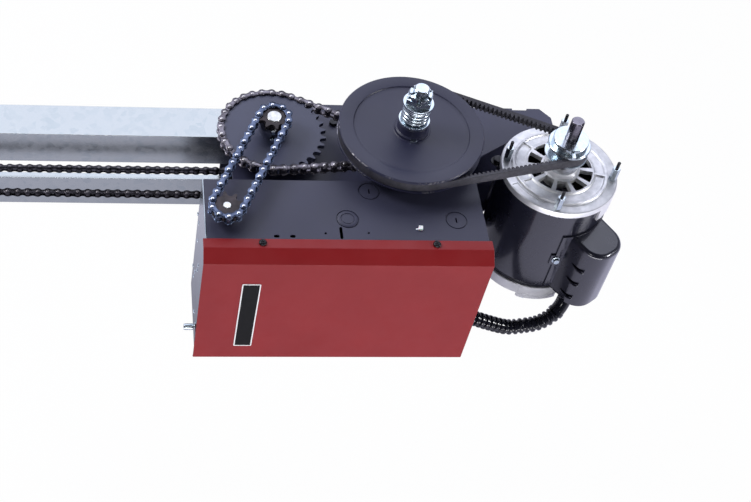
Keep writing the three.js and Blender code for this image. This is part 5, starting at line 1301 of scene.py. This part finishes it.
def footprint(inset, root, flare=0):
    """Plan of the cover, drawn in from its full size, starting and ending against the shell."""
    half, reach, corner = CAP_HALF - inset, CAP_REACH - inset, CAP_CORNER - inset
    near, tight = CAP_NEAR - inset + flare, NEAR_CORNER - inset
    points = [(root, -near)]
    points += [(reach - tight + tight * cos(a), tight - near + tight * sin(a))
               for a in (radians(-90 + 9 * i) for i in range(11))]
    points += [(reach - corner + corner * cos(a), half - corner + corner * sin(a))
               for a in (radians(9 * i) for i in range(11))]
    return points + [(root, half)]


ROOT = 50
levels = [(footprint(1.2, ROOT, CAP_FLARE), cap_bottom), (footprint(0.35, ROOT, CAP_FLARE), cap_bottom + 0.35),
          (footprint(0, ROOT, CAP_FLARE), cap_bottom + 1.2)]
for i in range(7):
    a = radians(15 * i)
    levels.append((footprint(CAP_ROUND * (1 - cos(a)), ROOT), cap_top - CAP_ROUND + CAP_ROUND * sin(a)))
verts, faces = stacked(levels)
verts = [(x, y, z + (CAP_FALL * (CAP_REACH - x) if z > cap_top - CAP_ROUND - 1 else 0)) for x, y, z in verts]
outer = placed((verts, faces), cap_frame)
inner = placed(prism(footprint(3.2, ROOT - 4), cap_bottom + 1.8, cap_top - 1.8 - 0.6), cap_frame)
cap_cover = new_piece("capacitor_cover_drawn", mesh_of("cap_cover", outer), shell_enamel, 30)
flange_low, flange_high = cap_bottom + 7, cap_top + 6
CAP_OUT, CAP_IN = SHELL + 2.1, SHELL + 0.3
for half_turn, z0, z1 in ((32.5, flange_low, flange_high), (37, -9, 9)):
    combine(cap_cover, "UNION",
            sector(66, CAP_OUT, CAPACITOR_SIDE - half_turn, CAPACITOR_SIDE + half_turn, z0, z1, 24))
hollow = bar(CAP_IN, cap_bottom - 5, cap_top + 20, 0, 160, motor_x, motor_y)
SKIRT_TOP = -58.2
skirt_room = bar(BELL + 0.3, cap_bottom - 5, SKIRT_TOP, 0, 160, motor_x, motor_y)
lead_notch = placed(prism([(60, -40), (92, -40), (92, -4), (60, -4)], cap_bottom - 2, cap_bottom + 5), cap_frame)
combine(cap_cover, "DIFFERENCE", hollow, skirt_room, inner, lead_notch)
LOUVRES = [(z, -CAP_NEAR - CAP_FLARE * (cap_top - z) / CAP_HEIGHT) for z in (6.5, -19.5, -46)]
for z, wall_at in LOUVRES:
    louvre = prism([(81, wall_at - 2), (99, wall_at - 2), (99, wall_at + 4.5), (81, wall_at + 4.5)], z - 1.5, z + 1.5)
    combine(cap_cover, "DIFFERENCE", placed(louvre, cap_frame))
round_edges(cap_cover, 0.6, 3, 40)
show(cap_cover, "frame", "black_paint", "capacitor_cover")
lip = [(80, 0.3, 0.5), (81, -0.2, 0), (86, -0.6, -1.9), (92, -1.0, -2.2), (96.5, -1.0, -2.2), (99.6, -0.2, -1.2),
       (100.2, 0.6, 0.4)]
lip_radii = [0.5, 0.9, 1.0, 1.5, 1.7, 1.3, 0.6]
lips = [placed(tube([(u, wall_at + v, z + rise) for u, v, rise in lip], lip_radii, 10), cap_frame)
        for z, wall_at in LOUVRES]
hem = [(u, -CAP_NEAR - CAP_FLARE + 0.2, cap_bottom + 5.4) for u in (64, 90)]
lips.append(placed(tube(hem, [0.8, 0.8], 10), cap_frame))
show(new_piece("capacitor_cover_louvres", mesh_of("louvres", *lips), shell_enamel), "frame", "black_paint")

seat_turn = radians(CAPACITOR_SIDE - 31)
seat_out = CAP_OUT + 0.1
screw_at = Matrix.Translation((motor_x + seat_out * cos(seat_turn), motor_y + seat_out * sin(seat_turn), 0))
screw_out = screw_at @ Matrix.Rotation(seat_turn, 4, "Z") @ Matrix.Rotation(pi / 2, 4, "Y")
washer_shape = placed(turned([(0, -0.6), (5.6, -0.6), (5.6, 0.3), (5.0, 0.8), (0, 0.8)], 32), screw_out)
head_shape = placed(prism(ring(4.2, 6, turn=10), 0.5, 4.0), screw_out)
cap_screw = new_piece("capacitor_cover_screw", mesh_of("cap_screw", washer_shape, head_shape), zinc)
round_edges(cap_screw, 0.4)
show(cap_screw, "frame", "zinc")

# Drawn aluminium can: satin, and a little uneven from the draw.
can_metal = finish("drawn_aluminium_can", 1.0, "#c3c5c8", (6, 8, 0.28, 0.44))
x, y = axis("capacitor")
low, high = heights("capacitor")
can_profile = [(0, low), (16.6, low), (17.8, low + 1.2), (17.8, high - 4), (17.1, high - 3.2), (17.8, high - 2.4),
               (17.4, high - 0.4), (16.4, high), (15.8, high - 1.2), (0, high - 1.2)]
show(new_piece("capacitor_can", mesh_of("can", turned(can_profile, 64, x, y)), can_metal), "frame", "aluminium",
     "capacitor")


# ---------------------------------------------------------------- conduit
# A corrugated black nylon conduit takes the motor leads from the box end to the cover, and a
# smooth moulded elbow turns it up. A locknut grips it on the box wall.

# Black conduit nylon: glossy off the mould, so each rib carries a thin bright line.
conduit_black = finish("black_conduit_nylon", 0.0, (20, 4, "#0e0e16", "#14141e"), (9, 6, 0.1, 0.15))
start = Vector((box_corners("electrical_box")[1][0] + 0.3, out_y - 152, -79))
end = cap_frame @ Vector((SHELL + 13.08, -13.4, cap_bottom + 5))
route = [start + Vector(step) for step in ((3, 0, 0), (22, -1, -4), (46.9, -2, -14), (76.2, -1.6, -24.6))]
route += [end + Vector(step) for step in ((-56, -26.8, -44.5), (-36, -23.8, -42.5), (-16.4, -16, -36.1),
                                          (-4.6, -6.8, -26.1), (0, 0, -14), (0, 0, 0))]


def smooth_path(points, cuts=24):
    """Smooth curve through the points: a centripetal Catmull-Rom spline."""
    ends = [2 * points[0] - points[1]] + points + [2 * points[-1] - points[-2]]
    fine = []
    for p0, p1, p2, p3 in zip(ends, ends[1:], ends[2:], ends[3:]):
        t0 = 0.0
        t1 = t0 + sqrt((p1 - p0).length)
        t2 = t1 + sqrt((p2 - p1).length)
        t3 = t2 + sqrt((p3 - p2).length)
        for i in range(cuts):
            t = t1 + (t2 - t1) * i / cuts
            a1, a2, a3 = (p0.lerp(p1, (t - t0) / (t1 - t0)), p1.lerp(p2, (t - t1) / (t2 - t1)),
                          p2.lerp(p3, (t - t2) / (t3 - t2)))
            b1, b2 = a1.lerp(a2, (t - t0) / (t2 - t0)), a2.lerp(a3, (t - t1) / (t3 - t1))
            fine.append(b1.lerp(b2, (t - t1) / (t2 - t1)))
    return fine + [points[-1]]


def walk(points, distances):
    """Points at the given distances along a fine polyline."""
    found, gone, k = [], 0.0, 0
    for distance in distances:
        while k < len(points) - 2 and gone + (points[k + 1] - points[k]).length < distance:
            gone += (points[k + 1] - points[k]).length
            k += 1
        found.append(points[k].lerp(points[k + 1], (distance - gone) / (points[k + 1] - points[k]).length))
    return found


RIB_PITCH = 7.6
ELBOW = 40
fine = smooth_path(route)
run = sum((b - a).length for a, b in zip(fine, fine[1:]))
ribs = int((run - ELBOW) / RIB_PITCH)
stops = [(rib + share) * RIB_PITCH for rib in range(ribs) for share in (0, 0.12, 0.3, 0.37, 0.63, 0.7, 0.88)]
radii = [8.2, 8.3, 9.9, 10.3, 10.3, 9.9, 8.3] * ribs
elbow_start = ribs * RIB_PITCH
stops += [elbow_start + step for step in (0, 0.6, 5, 6, 12, 18, 24, 28, run - elbow_start - 0.4, run - elbow_start)]
radii += [9.2, 10.9, 10.9, 9.9, 9.8, 9.7, 9.6, 9.5, 9.5, 9.2]
tube_points = [tuple(p) for p in walk(fine, stops)]
hose = new_piece("conduit_corrugated", mesh_of("conduit", tube(tube_points, radii, 28)), conduit_black, 30)
show(hose, "frame", "rubber", "conduit")
connector_lay = Matrix.Translation(start) @ Matrix.Rotation(pi / 2, 4, "Y")
locknut = new_piece("conduit_locknut", mesh_of(
    "locknut", placed(turned([(0, 0), (13.6, 0), (14, 0.5), (14, 2.4), (12.2, 2.8), (11.6, 8.4), (11, 9), (0, 9)], 48),
                      connector_lay),
    placed(turned([(0, -7), (8.7, -7), (8.7, 0.2), (0, 0.2)], 40), connector_lay)), conduit_black)
round_edges(locknut, 0.3)
show(locknut, "frame", "rubber")
